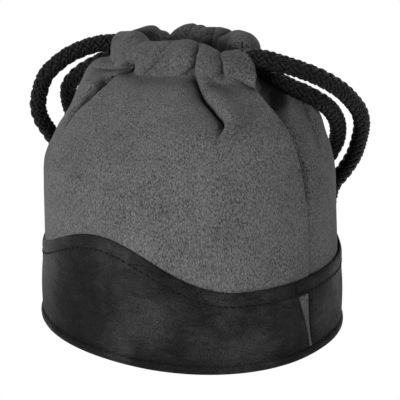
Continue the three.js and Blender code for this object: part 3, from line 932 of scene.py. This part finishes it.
def suede_finish():
    suede = Finish("grey_suede")
    upright = suede.stretched((1, 1, 0.5))
    nap = suede.grain(upright, 2300, 2, 0.6)
    fibre = suede.grain(upright, 4200, 2, 0.6)
    clouds = suede.grain(suede.place, 70, 2, 0.5)
    patchy = suede.weighted(clouds, CLOUD_WEIGHT, nap)
    tone = suede.shades(patchy, (0.38, 0.016), (0.56, 0.084), (0.74, 0.15))
    # Painted shade: above the hem levels the suede's colour is scaled darker.
    height = suede.node("ShaderNodeSeparateXYZ", {0: suede.place}).outputs["Z"]
    levels = {"From Min": HEM_LEVELS[0], "From Max": HEM_LEVELS[1], "To Min": 1, "To Max": HEM_PAINTED_SHADE}
    painted_hem_shade = suede.node("ShaderNodeMapRange", {"Value": height, **levels}).outputs["Result"]
    shaded = suede.node("ShaderNodeVectorMath", {0: tone, "Scale": painted_hem_shade}, operation="SCALE")
    return suede.done(
        Base_Color=shaded.outputs[0],
        Normal=suede.relief(fibre, 0.0002, 0.5, suede.relief(nap, 0.0005, 0.55)),
        Roughness=0.95,
        Specular_IOR_Level=0.12,
        Sheen_Weight=0.08,
        Sheen_Roughness=0.6,
    )


grey_suede = suede_finish()

# %% [markdown]
# ## A panel of cloth
# Both panels are made in the same steps: a grid of points from seam to seam on the plain shape, the
# corner between shoulder and hem smoothed out, then folds, hollows and lumps, and last the turned-in
# edges at the side seams.

# %% Grid of a panel
CLOTH_STEP = 0.62
PANEL_WIDTH = 172
SHOULDER_LENGTH = 55
HEM_LENGTH = 31
NECK_PASSES = 24
NECK_REACH = 0.22
NECK_PULL = 0.5


def climb_steps(step):
    """Climbs at even distances from the foot of the cloth to the end of the hem."""
    wall = np.linspace(0, 1, int((SHOULDER_HEIGHT - CLOTH_FOOT) / step) + 1)[:-1]
    shoulder = np.linspace(1, 2, int(SHOULDER_LENGTH / step) + 1)[:-1]
    return np.concatenate([wall, shoulder, np.linspace(2, 3, int(HEM_LENGTH / step) + 1)])


def smooth_neck(plain, climbs):
    """Smooths the corner between shoulder and hem, a little at each pass."""
    pull = np.clip(1 - np.abs(climbs - 2) / NECK_REACH, 0, 1)[None, :, None] * NECK_PULL
    for _ in range(NECK_PASSES):
        halfway = plain.copy()
        halfway[:, 1:-1] = (plain[:, 2:] + plain[:, :-2]) / 2
        plain += (halfway - plain) * pull


print("panels of", len(climb_steps(CLOTH_STEP)), "columns")

# %% [markdown]
# ## The steps of a panel
# Folds and hollows are all measured on the plain cloth and then added up, so their order doesn't matter.
# The thickness comes from a modifier, because that follows every fold.

# %% Cloth panels
SUEDE_THICKNESS = 1.0
LUMPS = ((17, 1.0), (6, 0.35))
LUMPS_FROM = 0.7
LUMPS_FADE = 0.8
TUCK_DEPTH = 7
TUCK_TURN = 13
TUCK_FROM, TUCK_FROM_FADE = 1.4, 0.12
TUCK_TO, TUCK_TO_FADE = 2, 0.1
SEAM_GROOVE = through([(0, 0.3), (0.7, 0.35), (0.95, 0.5), (1.06, 1.1), (1.25, 1.4), (1.42, 1.2),
                       (1.56, 0.1), (1.6, 0), (1.62, 0), (3, 0)])


def cloth_panel(hem, edges, folds, lump_seed, groove, tucks=(), pushes=()):
    """A cloth panel as a grid of points, with its folds, lumps, tucks and turned-in seam edges."""
    step = CLOTH_STEP
    climbs = climb_steps(step)
    share = np.linspace(0, 1, int(PANEL_WIDTH / step))[:, None]
    left, right = (edge(climbs)[:, 0] for edge in edges)
    turns = left + (right - left) * share
    plain = cloth_point(turns, np.broadcast_to(climbs, turns.shape), hem)
    smooth_neck(plain, climbs)
    normals = surface_normals(plain)

    def on_grid(route):
        columns = [int(np.argmin(np.abs(climbs - climb))) for _, climb, _ in route]
        rows = [int(np.argmin(np.abs(turns[:, j] - spot[0]))) for j, spot in zip(columns, route)]
        return list(zip(rows, columns, [spot[2] for spot in route]))

    points = plain.copy()
    for route, *shape in folds:
        points += fold_field(plain, normals, on_grid(route), *shape)
    for route, profile in pushes:
        points += pushed_field(plain, normals, on_grid(route), profile)
    soft = np.clip((climbs - LUMPS_FROM) / LUMPS_FADE, 0, 1)[None, :, None]
    for size, height in LUMPS:
        points += soft * lumps(plain + lump_seed, normals, size, height)
    above = np.clip((climbs - TUCK_FROM) / TUCK_FROM_FADE, 0, 1)
    below = np.clip((TUCK_TO - climbs) / TUCK_TO_FADE, 0, 1)
    for slit_edge, way in tucks:
        past = np.clip(way * (turns - slit_edge(climbs)[:, 0]) / TUCK_TURN, 0, 1)
        points -= normals * (TUCK_DEPTH * soft_step(past) * above * below)[..., None]
    depth, width = groove
    from_seam = np.minimum(share, 1 - share) * PANEL_WIDTH
    turned_in = depth * SEAM_GROOVE(climbs)[:, 0] * np.exp(-(from_seam / width) ** 2)
    return points - normals * turned_in[..., None]


def suede_piece(name, points, *nodes):
    """A piece of suede from a panel's points, given its thickness by a modifier."""
    piece = make_piece(name, [(points, grid_faces(*points.shape[:2]))], grey_suede)
    skin = piece.modifiers.new("thickness", "SOLIDIFY")
    skin.thickness = SUEDE_THICKNESS * MM
    skin.offset = -1
    dress(piece, "suede", *nodes)
    print(name, points.shape)


print("panels ready, tucked over", TUCK_TURN, "degrees beside the slits")

# %% [markdown]
# ## The front panel
# The front panel ends at the right seam and at the left one, draws back from both slits above, and its
# hem goes on a little way along each cord like a short sleeve. A fold's row holds its route as (turn,
# climb, strength), then the roll's height and width, the hollow's depth and width, and how far the roll
# reaches over. The long folds run down from the gaps between the puffs. Two hollows lie at the left, one
# on the shoulder and one at the neck.

# %% Front panel
FRONT_LEFT_EDGE = through([(0, -90), (1.4, -90), (1.6, -88), (1.75, -82), (1.85, -80), (1.87, -80),
                           (3, -80)])
FRONT_RIGHT_EDGE = through([(0, 86), (0.7, 86.5), (1.09, 85.5), (1.33, 83.5), (1.5, 80.5), (1.6, 77.5),
                            (1.75, 74), (1.87, 72.5), (1.97, 75.5), (2.02, 76), (2.04, 76), (3, 76)])
FRONT_FOLDS = [
    ([(32, 2.5, 0.5), (34, 2.26, 0.9), (34, 2.12, 1), (34.5, 1.99, 1), (41.5, 1.86, 1), (45.5, 1.8, 1),
      (48.5, 1.73, 1), (50.5, 1.66, 1), (50, 1.59, 0.8), (47, 1.52, 0.4), (43, 1.45, 0)],
     2.0, 5, 4.2, 4.5, 1.4),
    ([(34, 2.2, 0.2), (34, 2.12, 0.7), (34.5, 1.99, 1), (41.5, 1.86, 1), (45.5, 1.8, 1.1),
      (48.5, 1.73, 1.1), (50.5, 1.66, 1), (50, 1.6, 0.6), (48, 1.54, 0)], 0, 2, 5, 2.5, 0),
    ([(-76, 1.8, 0.2), (-68, 1.87, 0.5), (-62, 1.95, 0.8), (-54, 2.04, 1.3), (-42, 2.11, 1.5),
      (-34, 2.16, 1), (-26, 2.25, 0.4), (-20, 2.34, 0)], 0.8, 4, 2.6, 4, 0.4),
    ([(-19, 1.9, 0), (-19, 2.06, 0.9), (-10, 2.16, 1), (-3, 2.26, 1), (2, 2.38, 0.6), (6, 2.5, 0)],
     0.6, 2.2, 1.3, 1.8, 0.3),
    ([(-13, 1.93, 0), (-11, 2.1, 0.8), (-4, 2.2, 1), (4, 2.28, 0.8), (8, 2.4, 0)], 0.5, 2, 1, 1.6, 0.2),
    ([(-58, 2.2, 0), (-50, 2.28, 0.8), (-44, 2.36, 1), (-40, 2.46, 0.4)], 0.4, 1.8, 0.9, 1.5, 0.1),
    ([(-46, 2.18, 0), (-40, 2.26, 0.8), (-34, 2.34, 1), (-31, 2.46, 0.4)], 0.4, 1.8, 0.9, 1.5, 0.1),
    ([(3, 2.06, 0.3), (12, 2.04, 0.8), (20, 2.08, 1), (26, 2.16, 1), (29, 2.28, 0.4)],
     0.5, 3, 1.3, 2.2, 0.2),
    ([(35, 2.05, 0.6), (38, 2.12, 1), (43, 2.14, 1), (46, 2.1, 1), (49, 2.05, 0.5)], 0.5, 4, 1.6, 2.6, 0.2),
    ([(56, 2.52, 0.4), (54, 2.38, 1), (56.5, 2.3, 1), (56, 2.22, 1.2), (57, 2.14, 1.2), (55, 2.08, 0.5)],
     0.6, 4, 2.6, 2.4, 0.2),
    ([(57, 2.14, 0.8), (64, 2.1, 1), (68, 2.04, 1.2), (71, 1.99, 1.5), (75, 1.95, 1.5)],
     0.7, 4, 2.8, 2.6, 0.6),
    ([(57, 2.15, 0.6), (53, 2.12, 1), (48, 2.06, 1), (44, 2.02, 0.5), (40, 2.02, 0)],
     0.4, 3, 1.2, 2.4, 0.2),
]
FRONT_PUSHES = [
    ([(-42, 1.93, 0), (-35, 1.85, 0.8), (-32, 1.77, 1), (-32, 1.71, 1), (-34, 1.65, 1), (-36, 1.6, 1),
      (-38, 1.55, 0.9), (-40, 1.49, 0.7), (-41, 1.43, 0.4), (-40, 1.34, 0.15), (-40, 1.24, 0)],
     through([(-20, 0), (-16, 2), (-13, 3), (-10, 2.4), (-7.5, 0), (-5, -4.5), (-2.8, -8.5), (-0.7, -9.5),
              (0.2, -1.5), (0.8, 0), (2, 0)])),
    ([(-50, 2.06, 0), (-46, 2.08, 0.8), (-41, 2.11, 1), (-37, 2.15, 0.7), (-33, 2.2, 0)],
     through([(-8, 0), (-5, -2), (-3, -6.5), (-0.6, -9), (0.5, -2.5), (1.2, 0), (2, 0)])),
]
FRONT_GROOVE = (1.4, 0.8)
FRONT_LUMP_SEED = 3.7

front_points = cloth_panel(FRONT_HEM, (FRONT_LEFT_EDGE, FRONT_RIGHT_EDGE), FRONT_FOLDS, FRONT_LUMP_SEED,
                           FRONT_GROOVE, pushes=FRONT_PUSHES)
suede_piece("front_suede_panel", front_points, "body_front", "casing_front")

# %% [markdown]
# ## The rear panel
# The rear panel is cut like the front one. Its hem shows behind the front hem as three bumps with a deep
# saddle between two of them, where the cloth is gathered most. Beside both slits the cloth is tucked in
# behind the front panel's edge, and beside the right slit it stands up as a narrow ridge. Small gathers
# that repeat are a loop.

# %% Rear panel
REAR_RIGHT_EDGE = through([(0, 86), (0.7, 86.5), (1.09, 85.5), (1.33, 83.5), (1.5, 79.5), (1.6, 75),
                           (1.75, 74), (1.88, 80), (1.96, 94), (2, 103.5), (2.02, 104),
                           (2.04, 104), (3, 104)])
REAR_LEFT_EDGE = through([(0, 270), (1.4, 270), (1.6, 275), (1.75, 273), (1.85, 266), (1.95, 262),
                          (1.97, 262), (3, 262)])
RIGHT_TUCK = through([(1, 75), (1.5, 84), (1.58, 90), (1.66, 100), (1.74, 113), (1.82, 122), (2, 128)])
LEFT_TUCK = through([(1, 280), (1.42, 271), (1.6, 264), (1.75, 259), (2, 252)])
REAR_FOLDS = [
    ([(226, 2.5, 0.6), (226, 2.25, 1), (225, 2.05, 1), (224, 1.85, 0.7), (222, 1.6, 0)],
     0.8, 4, 2.6, 4, 0.3),
    ([(164, 2.5, 0.6), (164, 2.25, 1), (164, 2, 1), (160, 1.8, 0.6), (156, 1.55, 0)], 0.8, 4, 2.2, 4, 0.4),
    ([(140, 2.3, 0.3), (139, 2.1, 0.8), (136, 1.9, 0.7), (132, 1.7, 0)], 0.6, 3, 1.4, 3, 0.2),
    ([(245, 2.3, 0.3), (245, 2.1, 0.8), (247, 1.9, 0.7), (250, 1.7, 0)], 0.6, 3, 1.4, 3, 0.2),
    ([(178, 2.1, 0.3), (176, 1.9, 0.8), (175, 1.7, 0.6), (173, 1.5, 0)], 0.6, 4, 1.2, 4, 0.2),
    ([(184, 2.64, 0.2), (180, 2.56, 1), (175, 2.51, 1), (171, 2.53, 1), (169, 2.62, 1), (171, 2.72, 0.4)],
     0.9, 2, 3, 1.8, 0.2),
    ([(170, 2.6, 0.4), (168, 2.68, 1), (168, 2.78, 0.6)], 0, 2, 4, 1.8, 0),
    ([(133, 1.68, 0), (125, 1.65, 0.6), (116, 1.62, 1), (109, 1.56, 1), (105.5, 1.48, 1), (104, 1.4, 1),
      (103, 1.3, 0.7), (105, 1.2, 0)], 2.4, 1.6, 0.6, 3, 0),
]
for turn in (212, 207, 202, 197):
    gather = [(turn, 2.42, 0), (turn, 2.55, 1), (turn - 1, 2.68, 1), (turn - 2, 2.85, 0)]
    REAR_FOLDS.append((gather, 0.6, 1.6, 2.4, 1.4, 0))
for turn in (199, 191):
    gather = [(turn, 2.5, 0.5), (turn, 2.25, 1), (turn, 2, 0.7), (turn, 1.85, 0)]
    REAR_FOLDS.append((gather, 0.5, 2, 1, 2, 0))
REAR_GROOVE = (4.6, 2.4)
REAR_LUMP_SEED = 11.2

rear_points = cloth_panel(REAR_HEM, (REAR_RIGHT_EDGE, REAR_LEFT_EDGE), REAR_FOLDS, REAR_LUMP_SEED,
                          REAR_GROOVE, tucks=((RIGHT_TUCK, -1), (LEFT_TUCK, 1)))
suede_piece("rear_suede_panel", rear_points, "body_rear", "casing_rear")

# %% [markdown]
# ## Leatherette and thread
# The band, the bottom and the piping are black leatherette, a coated cloth with a pressed grain. The
# grain is small uneven cells with soft valleys between them. Longer, fainter creases come from handling,
# and the coating's sheen is satin, a little shinier where it is worn smooth. A few round spots on the band
# are painted lighter in colour, as painted sheen. The thread is a plain black twist.

# %% Leatherette and thread finishes
# Painted sheen: round spots, as (centre in metres, radius), where the band's colour is painted lighter.
PAINTED_SHEEN_SPOTS = [((0.0115, -0.05, 0.022), 0.022), ((0.046, -0.028, 0.009), 0.015),
              ((-0.02, 0.05, 0.018), 0.02)]
SHEEN_SPOT_WEIGHT = 0.16
CREASE_WEIGHT = 0.35
CELLS_PER_METRE = 1150
CELL_SHIFT = 0.0009


def spot(finish, centre, radius):
    """1 at the centre and 0 from the radius outwards."""
    far = finish.node("ShaderNodeVectorMath", {0: finish.place, 1: centre}, operation="DISTANCE")
    levels = {"Value": far.outputs["Value"], "From Max": radius, "To Min": 1, "To Max": 0}
    return finish.node("ShaderNodeMapRange", levels, interpolation_type="SMOOTHSTEP").outputs["Result"]


def leatherette_finish():
    leather = Finish("black_leatherette")
    bent = leather.grain(leather.place, 420, 2, 0.5)
    shift = leather.node("ShaderNodeVectorMath", {0: bent, 1: (CELL_SHIFT,) * 3, 2: leather.place},
                         operation="MULTIPLY_ADD")
    sockets = {"Vector": shift.outputs[0], "Scale": CELLS_PER_METRE, "Randomness": 1}
    cells = leather.node("ShaderNodeTexVoronoi", sockets, feature="DISTANCE_TO_EDGE")
    pebbles = leather.shades(cells.outputs["Distance"], (0.0, 0.0), (0.22, 0.8), (0.5, 1.0))
    creases = leather.grain(leather.stretched((1, 1, 2.2)), 150, 4, 0.6, 1.2)
    wear = leather.grain(leather.place, 38, 3, 0.55)
    wear_and_painted_sheen = leather.weighted(creases, CREASE_WEIGHT, wear)
    # Painted sheen: each spot lightens the colour towards its centre, over the random wear and creases.
    for centre, radius in PAINTED_SHEEN_SPOTS:
        wear_and_painted_sheen = leather.weighted(spot(leather, centre, radius), SHEEN_SPOT_WEIGHT, wear_and_painted_sheen)
    return leather.done(
        Base_Color=leather.shades(wear_and_painted_sheen, (0.5, 0.013), (0.68, 0.02), (0.9, 0.05)),
        Normal=leather.relief(pebbles, 0.0006, 0.8, leather.relief(creases, 0.003, 0.7)),
        Roughness=leather.shades(wear, (0.3, 0.5), (0.7, 0.32)),
        Specular_IOR_Level=0.02,
    )


def thread_finish():
    thread = Finish("black_thread")
    twist = thread.grain(thread.place, 4200, 2, 0.5)
    return thread.done(
        Base_Color=thread.shades(twist, (0.3, 0.002), (0.7, 0.006)),
        Normal=thread.relief(twist, 0.0001, 0.4),
        Roughness=0.7,
        Specular_IOR_Level=0.1,
    )


black_leatherette = leatherette_finish()
black_thread = thread_finish()

# %% [markdown]
# ## The band
# The band is two leatherette panels over padding. Its upper edge is turned under and topstitched, so a
# strip above the stitches is puffed and the stitches lie in a shallow groove. The edge is level at the
# sides and rises in one wave at the middle. At the side seams the front panel's end slants, and a narrow
# wedge of cloth shows beside it.

# %% Plan and edge of the band
BASE_HALF = (58, 52)
BAND_FOOT = 3.05
BAND_HEIGHT = 30.4
WAVE_RISE = 15.6
WAVE_MIDDLE = math.radians(-3.5)
WAVE_HALF_ANGLE = math.radians(57)
WALL_LEAN = (0.3, 0.03)


def on_plan(angle, inset, z):
    """Points at an angle from the front and a height, on the plan's outline drawn in by an inset."""
    angle, inset, z = np.broadcast_arrays(angle, inset, z)
    across = np.abs(np.sin(angle)) / (BASE_HALF[0] - inset)
    along = np.abs(np.cos(angle)) / (BASE_HALF[1] - inset)
    radius = (across ** PLAN_POWER + along ** PLAN_POWER) ** (-1 / PLAN_POWER)
    return np.stack([radius * np.sin(angle), -radius * np.cos(angle), z], -1)


def wall_lean(z):
    """How far the wall has leaned in at a height."""
    return WALL_LEAN[0] + WALL_LEAN[1] * z


def band_edge(angle):
    """Height of the band's upper edge at an angle from the middle of its half."""
    wave = 0.5 * (1 + np.cos(np.pi * np.clip((angle - WAVE_MIDDLE) / WAVE_HALF_ANGLE, -1, 1)))
    return BAND_HEIGHT + WAVE_RISE * wave


print("band", BAND_HEIGHT, "to", BAND_HEIGHT + WAVE_RISE, "mm high")

# %% [markdown]
# ## The band's two panels
# One section is drawn once, as (inset, share of the height, drop from the edge): the roll at the foot,
# the padded face, the stitch groove, the puffed strip and the inner face. It is carried round the plan
# from seam to seam, and each panel's end is rolled in a little.

# %% Band
BAND_COLUMNS = 240
FOOT_ROLL = [(0.6, 0, 0), (0.25, 0.012, 0), (0.05, 0.04, 0), (-0.1, 0.1, 0)]
FACE_STEPS = 12
FACE_BULGE = 0.3
FACE_DROP = 7
GROOVE = [(-0.1, 1, 6.1), (-0.08, 1, 5.6), (0.04, 1, 5.25), (0.04, 1, 4.95), (-0.04, 1, 4.72),
          (-0.04, 1, 4.66)]
STRIP = [(-0.12, 1, 4), (-0.22, 1, 3), (-0.22, 1, 2), (-0.12, 1, 1.1), (0.05, 1, 0.5), (0.3, 1, 0.12),
         (0.6, 1, 0)]
INNER_FACE = [(0.95, 1, 0.3), (1.1, 1, 0.9), (1.1, 1, 6), (1.1, 0.5, 3), (1.1, 0, 0)]
OUTER_INSETS = 0.5
STRIP_DEPTH = 4.7
STRIP_SEAM = math.radians(76.8)
STRIP_GAP = 0.002
SEAM_TOP = 25.4
FRONT_END = through([(2, math.radians(85.2)), (SEAM_TOP, math.radians(78.2))])
REAR_START = through([(2, math.radians(86.2)), (12, math.radians(84.6)), (SEAM_TOP, math.radians(84))])
END_ROLL = 0.4
END_ROLL_SHARE = 0.01


def band_section():
    """The band's section, round the leatherette once, as three columns."""
    inset, foot, _ = FOOT_ROLL[-1]
    face = []
    for k in range(1, FACE_STEPS + 1):
        bulge = FACE_BULGE * math.sin(math.pi * k / FACE_STEPS)
        face.append((inset - bulge, foot + (1 - foot) * k / (FACE_STEPS + 1), FACE_DROP * k / FACE_STEPS))
    return (np.array(column) for column in zip(*FOOT_ROLL, *face, *GROOVE, *STRIP, *INNER_FACE))


def band_half(name, middle, node):
    """One panel of the band, between the two side seams."""
    inset, part, drop = band_section()
    level = BAND_FOOT + (BAND_HEIGHT - BAND_FOOT) * part - drop
    in_strip = (part == 1) & (drop < STRIP_DEPTH)
    if middle == 0:
        end = np.where(in_strip, STRIP_SEAM, FRONT_END(level)[:, 0])
    else:
        end = np.where(in_strip, math.pi - STRIP_SEAM - STRIP_GAP, math.pi - REAR_START(level)[:, 0])
    shares = np.linspace(-1, 1, BAND_COLUMNS + 1)[:, None]
    angle = shares * end
    z = BAND_FOOT + (band_edge(angle) - BAND_FOOT) * part - drop
    rolled = END_ROLL * np.exp(-((1 - np.abs(shares)) / END_ROLL_SHARE) ** 2) * (inset < OUTER_INSETS)
    points = on_plan(angle + middle, inset + wall_lean(z) + rolled, z)
    faces = lidded_faces(*points.shape[:2], turned=True)
    return dress(make_piece(name, [(points, faces)], black_leatherette), "leatherette", node)


front_band = band_half("front_leatherette_band", 0, "band_front")
rear_band = band_half("rear_leatherette_band", math.pi, "band_rear")
print("bands", len(front_band.data.vertices), "and", len(rear_band.data.vertices), "points")

# %% [markdown]
# ## Topstitching
# The topstitch is a lockstitch in thick black thread, 2.5 mm from hole to hole. A texture could draw it,
# but the stitches catch the light one by one. So each is a short bent capsule whose ends dip into the
# leatherette.

# %% Topstitching
STITCH_DROP = 5.1
STITCH_INSET = 0.06
STITCH_PITCH = 2.5
STITCH_LENGTH = 1.5
STITCH_START = 0.3
STITCH_PLACES = np.array([0, 0.15, 0.5, 0.85, 1])
STITCH_LIFTS = np.array([-0.5, 0.0, 0.1, 0.0, -0.5])
STITCH_SAMPLES = 600
STITCH_END = 0.01
THREAD_RADIUS = 0.36
THREAD_SIDES = 6


def stitch_line(middle, reach):
    """Points of the stitch line of one half, from end to end."""
    angle = np.linspace(-reach, reach, STITCH_SAMPLES)
    z = band_edge(angle) - STITCH_DROP
    return on_plan(angle + middle, STITCH_INSET + wall_lean(z), z)


def stitches(name, lines, length=STITCH_LENGTH, pitch=STITCH_PITCH):
    """Stitches in black thread along some lines, as one piece."""
    parts = []
    for line in lines:
        for start in np.arange(STITCH_START, distances(line)[-1] - length, pitch):
            spots = at_distances(line, start + length * STITCH_PLACES)
            spots = spots + unit(spots * (1, 1, 0)) * STITCH_LIFTS[:, None]
            parts.append(tube(spots, THREAD_RADIUS, THREAD_SIDES))
    piece = make_piece(name, parts, black_thread)
    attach(piece, "pouch")
    print(name, len(parts), "stitches")


stitches("front_topstitch", [stitch_line(0, STRIP_SEAM + STITCH_END)])
stitches("rear_topstitch", [stitch_line(math.pi, math.pi - float(REAR_START(SEAM_TOP)[0]) - STITCH_END)])

# %% [markdown]
# ## The side wedges
# The wedge at each side is the body's cloth, seen where the band's two panels don't quite meet. It is a
# strip of suede that reaches under both panels, with a bar tack of two close rows of stitches across its
# wide end.

# %% Side wedges and bar tacks
WEDGE_FOOT = 0.3
WEDGE_ROWS = 50
WEDGE_COLUMNS = 8
WEDGE_OVERLAP = 0.012
WEDGE_INSET = 0.7
WEDGE_CROWN = 0.25
WEDGE_THICKNESS = 0.8
TACK_LEVELS = (25.6, 24.9)
TACK_OVERLAPS = (0.02, 0.01)
TACK_INSET = -0.05
TACK_LENGTH = 2.2
TACK_PITCH = 2.4


def seam_wedge(name, side):
    """The cloth between the front panel's slanted end and the rear panel."""
    z = np.linspace(BAND_FOOT + WEDGE_FOOT, BAND_HEIGHT - STRIP_DEPTH, WEDGE_ROWS)[:, None]
    start, stop = FRONT_END(z)[..., 0] - WEDGE_OVERLAP, REAR_START(z)[..., 0] + WEDGE_OVERLAP
    across = np.linspace(0, 1, WEDGE_COLUMNS)
    inset = WEDGE_INSET - WEDGE_CROWN * np.sin(np.pi * across) + wall_lean(z)
    points = on_plan(side * (start + (stop - start) * across), inset, z)
    faces = [face[::side] for face in grid_faces(WEDGE_ROWS, WEDGE_COLUMNS)]
    wedge = make_piece(name, [(points, faces)], grey_suede)
    wedge.modifiers.new("thickness", "SOLIDIFY").thickness = WEDGE_THICKNESS * MM
    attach(wedge, "pouch")


def tack_line(side, level):
    """The line of one row of a bar tack, across the wedge at a level."""
    start = float(FRONT_END(level)[0]) - TACK_OVERLAPS[0]
    stop = float(REAR_START(level)[0]) + TACK_OVERLAPS[1]
    return on_plan(side * np.linspace(start, stop, WEDGE_COLUMNS), wall_lean(level) + TACK_INSET, level)


for side_name, side in (("right", 1), ("left", -1)):
    seam_wedge(side_name + "_seam_wedge", side)
    tacks = [tack_line(side, level) for level in TACK_LEVELS]
    stitches(side_name + "_bar_tack", tacks, TACK_LENGTH, TACK_PITCH)

# %% [markdown]
# ## Piping and bottom
# A round piping is sewn into the seam between the band and the bottom. It is a strip of the same
# leatherette folded over a string, so it is a thick, slightly wavy tube. The bottom panel inside it is a
# plain oval with a soft edge.

# %% Piping and bottom panel
PIPING_HALF = (1.55, 1.65)
PIPING_POWER = 2.6
PIPING_SIDES = 18
PIPING_STEPS = 420
PIPING_INSET = 1.3
PIPING_LIFT = 0.06
PIPING_SWELL = 0.05
PIPING_SWAY = 0.1
WAVE_SPREAD = 9
WAVE_LEVEL = 0.5
DISC_STEPS = 180


def oval_disc(name, rings, finish, slot, node):
    """A closed oval disc from (inset, height) rings, from the bottom's middle to the top's middle."""
    angles = np.linspace(0, 2 * np.pi, DISC_STEPS, endpoint=False)
    loops = [on_plan(angles, inset, z) for inset, z in rings]
    points = np.concatenate([[[0, 0, rings[0][1]]], *loops, [[0, 0, rings[-1][1]]]])
    faces = [face[::-1] for face in grid_faces(len(rings), DISC_STEPS, wrap_columns=True, start=1)]
    last = len(points) - 1
    for k in range(DISC_STEPS):
        after = (k + 1) % DISC_STEPS
        faces.append([0, 1 + after, 1 + k])
        faces.append([last, last - DISC_STEPS + k, last - DISC_STEPS + after])
    return dress(make_piece(name, [(points, faces)], finish), slot, node)


piping_angles = np.linspace(0, 2 * np.pi, PIPING_STEPS, endpoint=False)
spread_angles = [(math.sin(a) * WAVE_SPREAD, math.cos(a) * WAVE_SPREAD, WAVE_LEVEL) for a in piping_angles]
wave = np.array([noise.noise(Vector(place)) for place in spread_angles])[:, None]
section_turns = np.pi / 2 + 2 * np.pi * np.arange(PIPING_SIDES) / PIPING_SIDES
in_out, up_down = oval(section_turns, PIPING_HALF, PIPING_POWER).T
rim_inset = PIPING_INSET + PIPING_SWAY * wave - in_out * (1 + PIPING_SWELL * wave)
rim_points = on_plan(piping_angles[:, None], rim_inset, PIPING_HALF[1] + PIPING_LIFT + up_down)
rim_faces = grid_faces(PIPING_STEPS, PIPING_SIDES, True, True)
piping = make_piece("bottom_piping", [(rim_points, rim_faces)], black_leatherette)
dress(piping, "leatherette", "base_piping")
oval_disc("bottom_leatherette", [(20, 0.05), (4.4, 0.05), (3.2, 0.25), (2.7, 0.6), (3, 1.1), (20, 1.2)],
          black_leatherette, "leatherette", "base_panel")
print("piping", PIPING_STEPS, "steps")

# %% [markdown]
# ## Finishes of the inside
# The lining is a brushed cloth like the body's, only finer and darker. The foam is open-celled, so cells
# of noise give it bubbles, and the board is raw brown fibreboard with its fibres all lying one way.

# %% Inside finishes


def lining_finish():
    lining = Finish("brushed_lining")
    nap = lining.grain(lining.place, 1400, 3, 0.6)
    return lining.done(
        Base_Color=lining.shades(nap, (0.3, 0.022), (0.7, 0.055)),
        Normal=lining.relief(nap, 0.0003, 0.5),
        Roughness=0.95,
        Sheen_Weight=0.2,
    )


def foam_finish():
    foam = Finish("grey_foam")
    cells = foam.node("ShaderNodeTexVoronoi", {"Vector": foam.place, "Scale": 1600})
    bubbles = cells.outputs["Distance"]
    return foam.done(
        Base_Color=foam.shades(bubbles, (0.1, 0.09), (0.7, 0.18)),
        Normal=foam.relief(bubbles, 0.0004, 0.6),
        Roughness=0.9,
    )


def board_finish():
    board = Finish("raw_fibreboard")
    fibres = board.grain(board.stretched((1, 3, 1)), 500, 4, 0.7, 0.6)
    return board.done(
        Base_Color=board.shades(fibres, (0.3, (0.18, 0.13, 0.075)), (0.7, (0.32, 0.25, 0.16))),
        Normal=board.relief(fibres, 0.0002, 0.4),
        Roughness=0.85,
    )


brushed_lining, grey_foam, raw_fibreboard = lining_finish(), foam_finish(), board_finish()

# %% [markdown]
# ## Inside the pouch
# The floor is a stiff board, a foam pad and a lining disc, one on the other, and the wall has a foam
# strip under a lining sleeve in two halves. They can be seen only through the open mouth, but each is
# made with its own crown and rounded edge, from rings or a section of (inset, height).

# %% Board, foam and lining
BOARD_RINGS = [(20, 1.5), (6.1, 1.5), (5.85, 1.7), (5.85, 2.9), (6.1, 3.1), (20, 3.1)]
PAD_RINGS = [(20, 3.4), (6.6, 3.4), (5.9, 4.2), (5.8, 6), (6.4, 7.4), (9, 7.85), (26, 8)]
FLOOR_RINGS = [(26, 8.2), (8, 8.15), (7.2, 8.2), (6.9, 8.5), (7.2, 8.85), (8.5, 9), (26, 9.1)]
FOAM_SECTION = [(3.3, 3.5), (3, 4), (2.95, 14), (3, 25.2), (3.4, 25.8), (4.2, 25.9), (5.1, 25.8),
                (5.5, 25.2), (5.6, 14), (5.5, 4), (5.2, 3.5)]
SLEEVE_SECTION = [(5.8, 8.4), (5.8, 25.4), (5.6, 26.1), (3.3, 26.2), (3, 26.5), (3.2, 26.9), (5.6, 27),
                  (6.3, 26.7), (6.6, 25.8), (6.6, 8.4), (6.2, 8.2)]
WALL_COLUMNS = 200
LINING_REACH = math.pi / 2 - 0.004


def wall_skin(angles, section):
    """Points of the wall for some angles and a closed section of (inset, height)."""
    inset, height = (np.array(column) for column in zip(*section))
    return on_plan(angles[:, None], inset, height)


oval_disc("stiffening_board", BOARD_RINGS, raw_fibreboard, "board", "base_board")
floor_foam = oval_disc("floor_foam_pad", PAD_RINGS, grey_foam, "foam", "base_foam")
oval_disc("floor_lining", FLOOR_RINGS, brushed_lining, "lining", "base_lining")

foam_points = wall_skin(np.linspace(0, 2 * np.pi, WALL_COLUMNS, endpoint=False), FOAM_SECTION)
foam_faces = grid_faces(WALL_COLUMNS, len(FOAM_SECTION), True, True)
wall_foam = make_piece("wall_foam_strip", [(foam_points, foam_faces)], grey_foam)
dress(wall_foam, "foam", "wall_foam")
for name, middle in (("front", 0), ("rear", math.pi)):
    angles = np.linspace(middle - LINING_REACH, middle + LINING_REACH, WALL_COLUMNS)
    half = (wall_skin(angles, SLEEVE_SECTION), lidded_faces(WALL_COLUMNS, len(SLEEVE_SECTION), turned=True))
    dress(make_piece(name + "_wall_lining", [half], brushed_lining), "lining", "wall_lining_" + name)
print("inside pieces made")
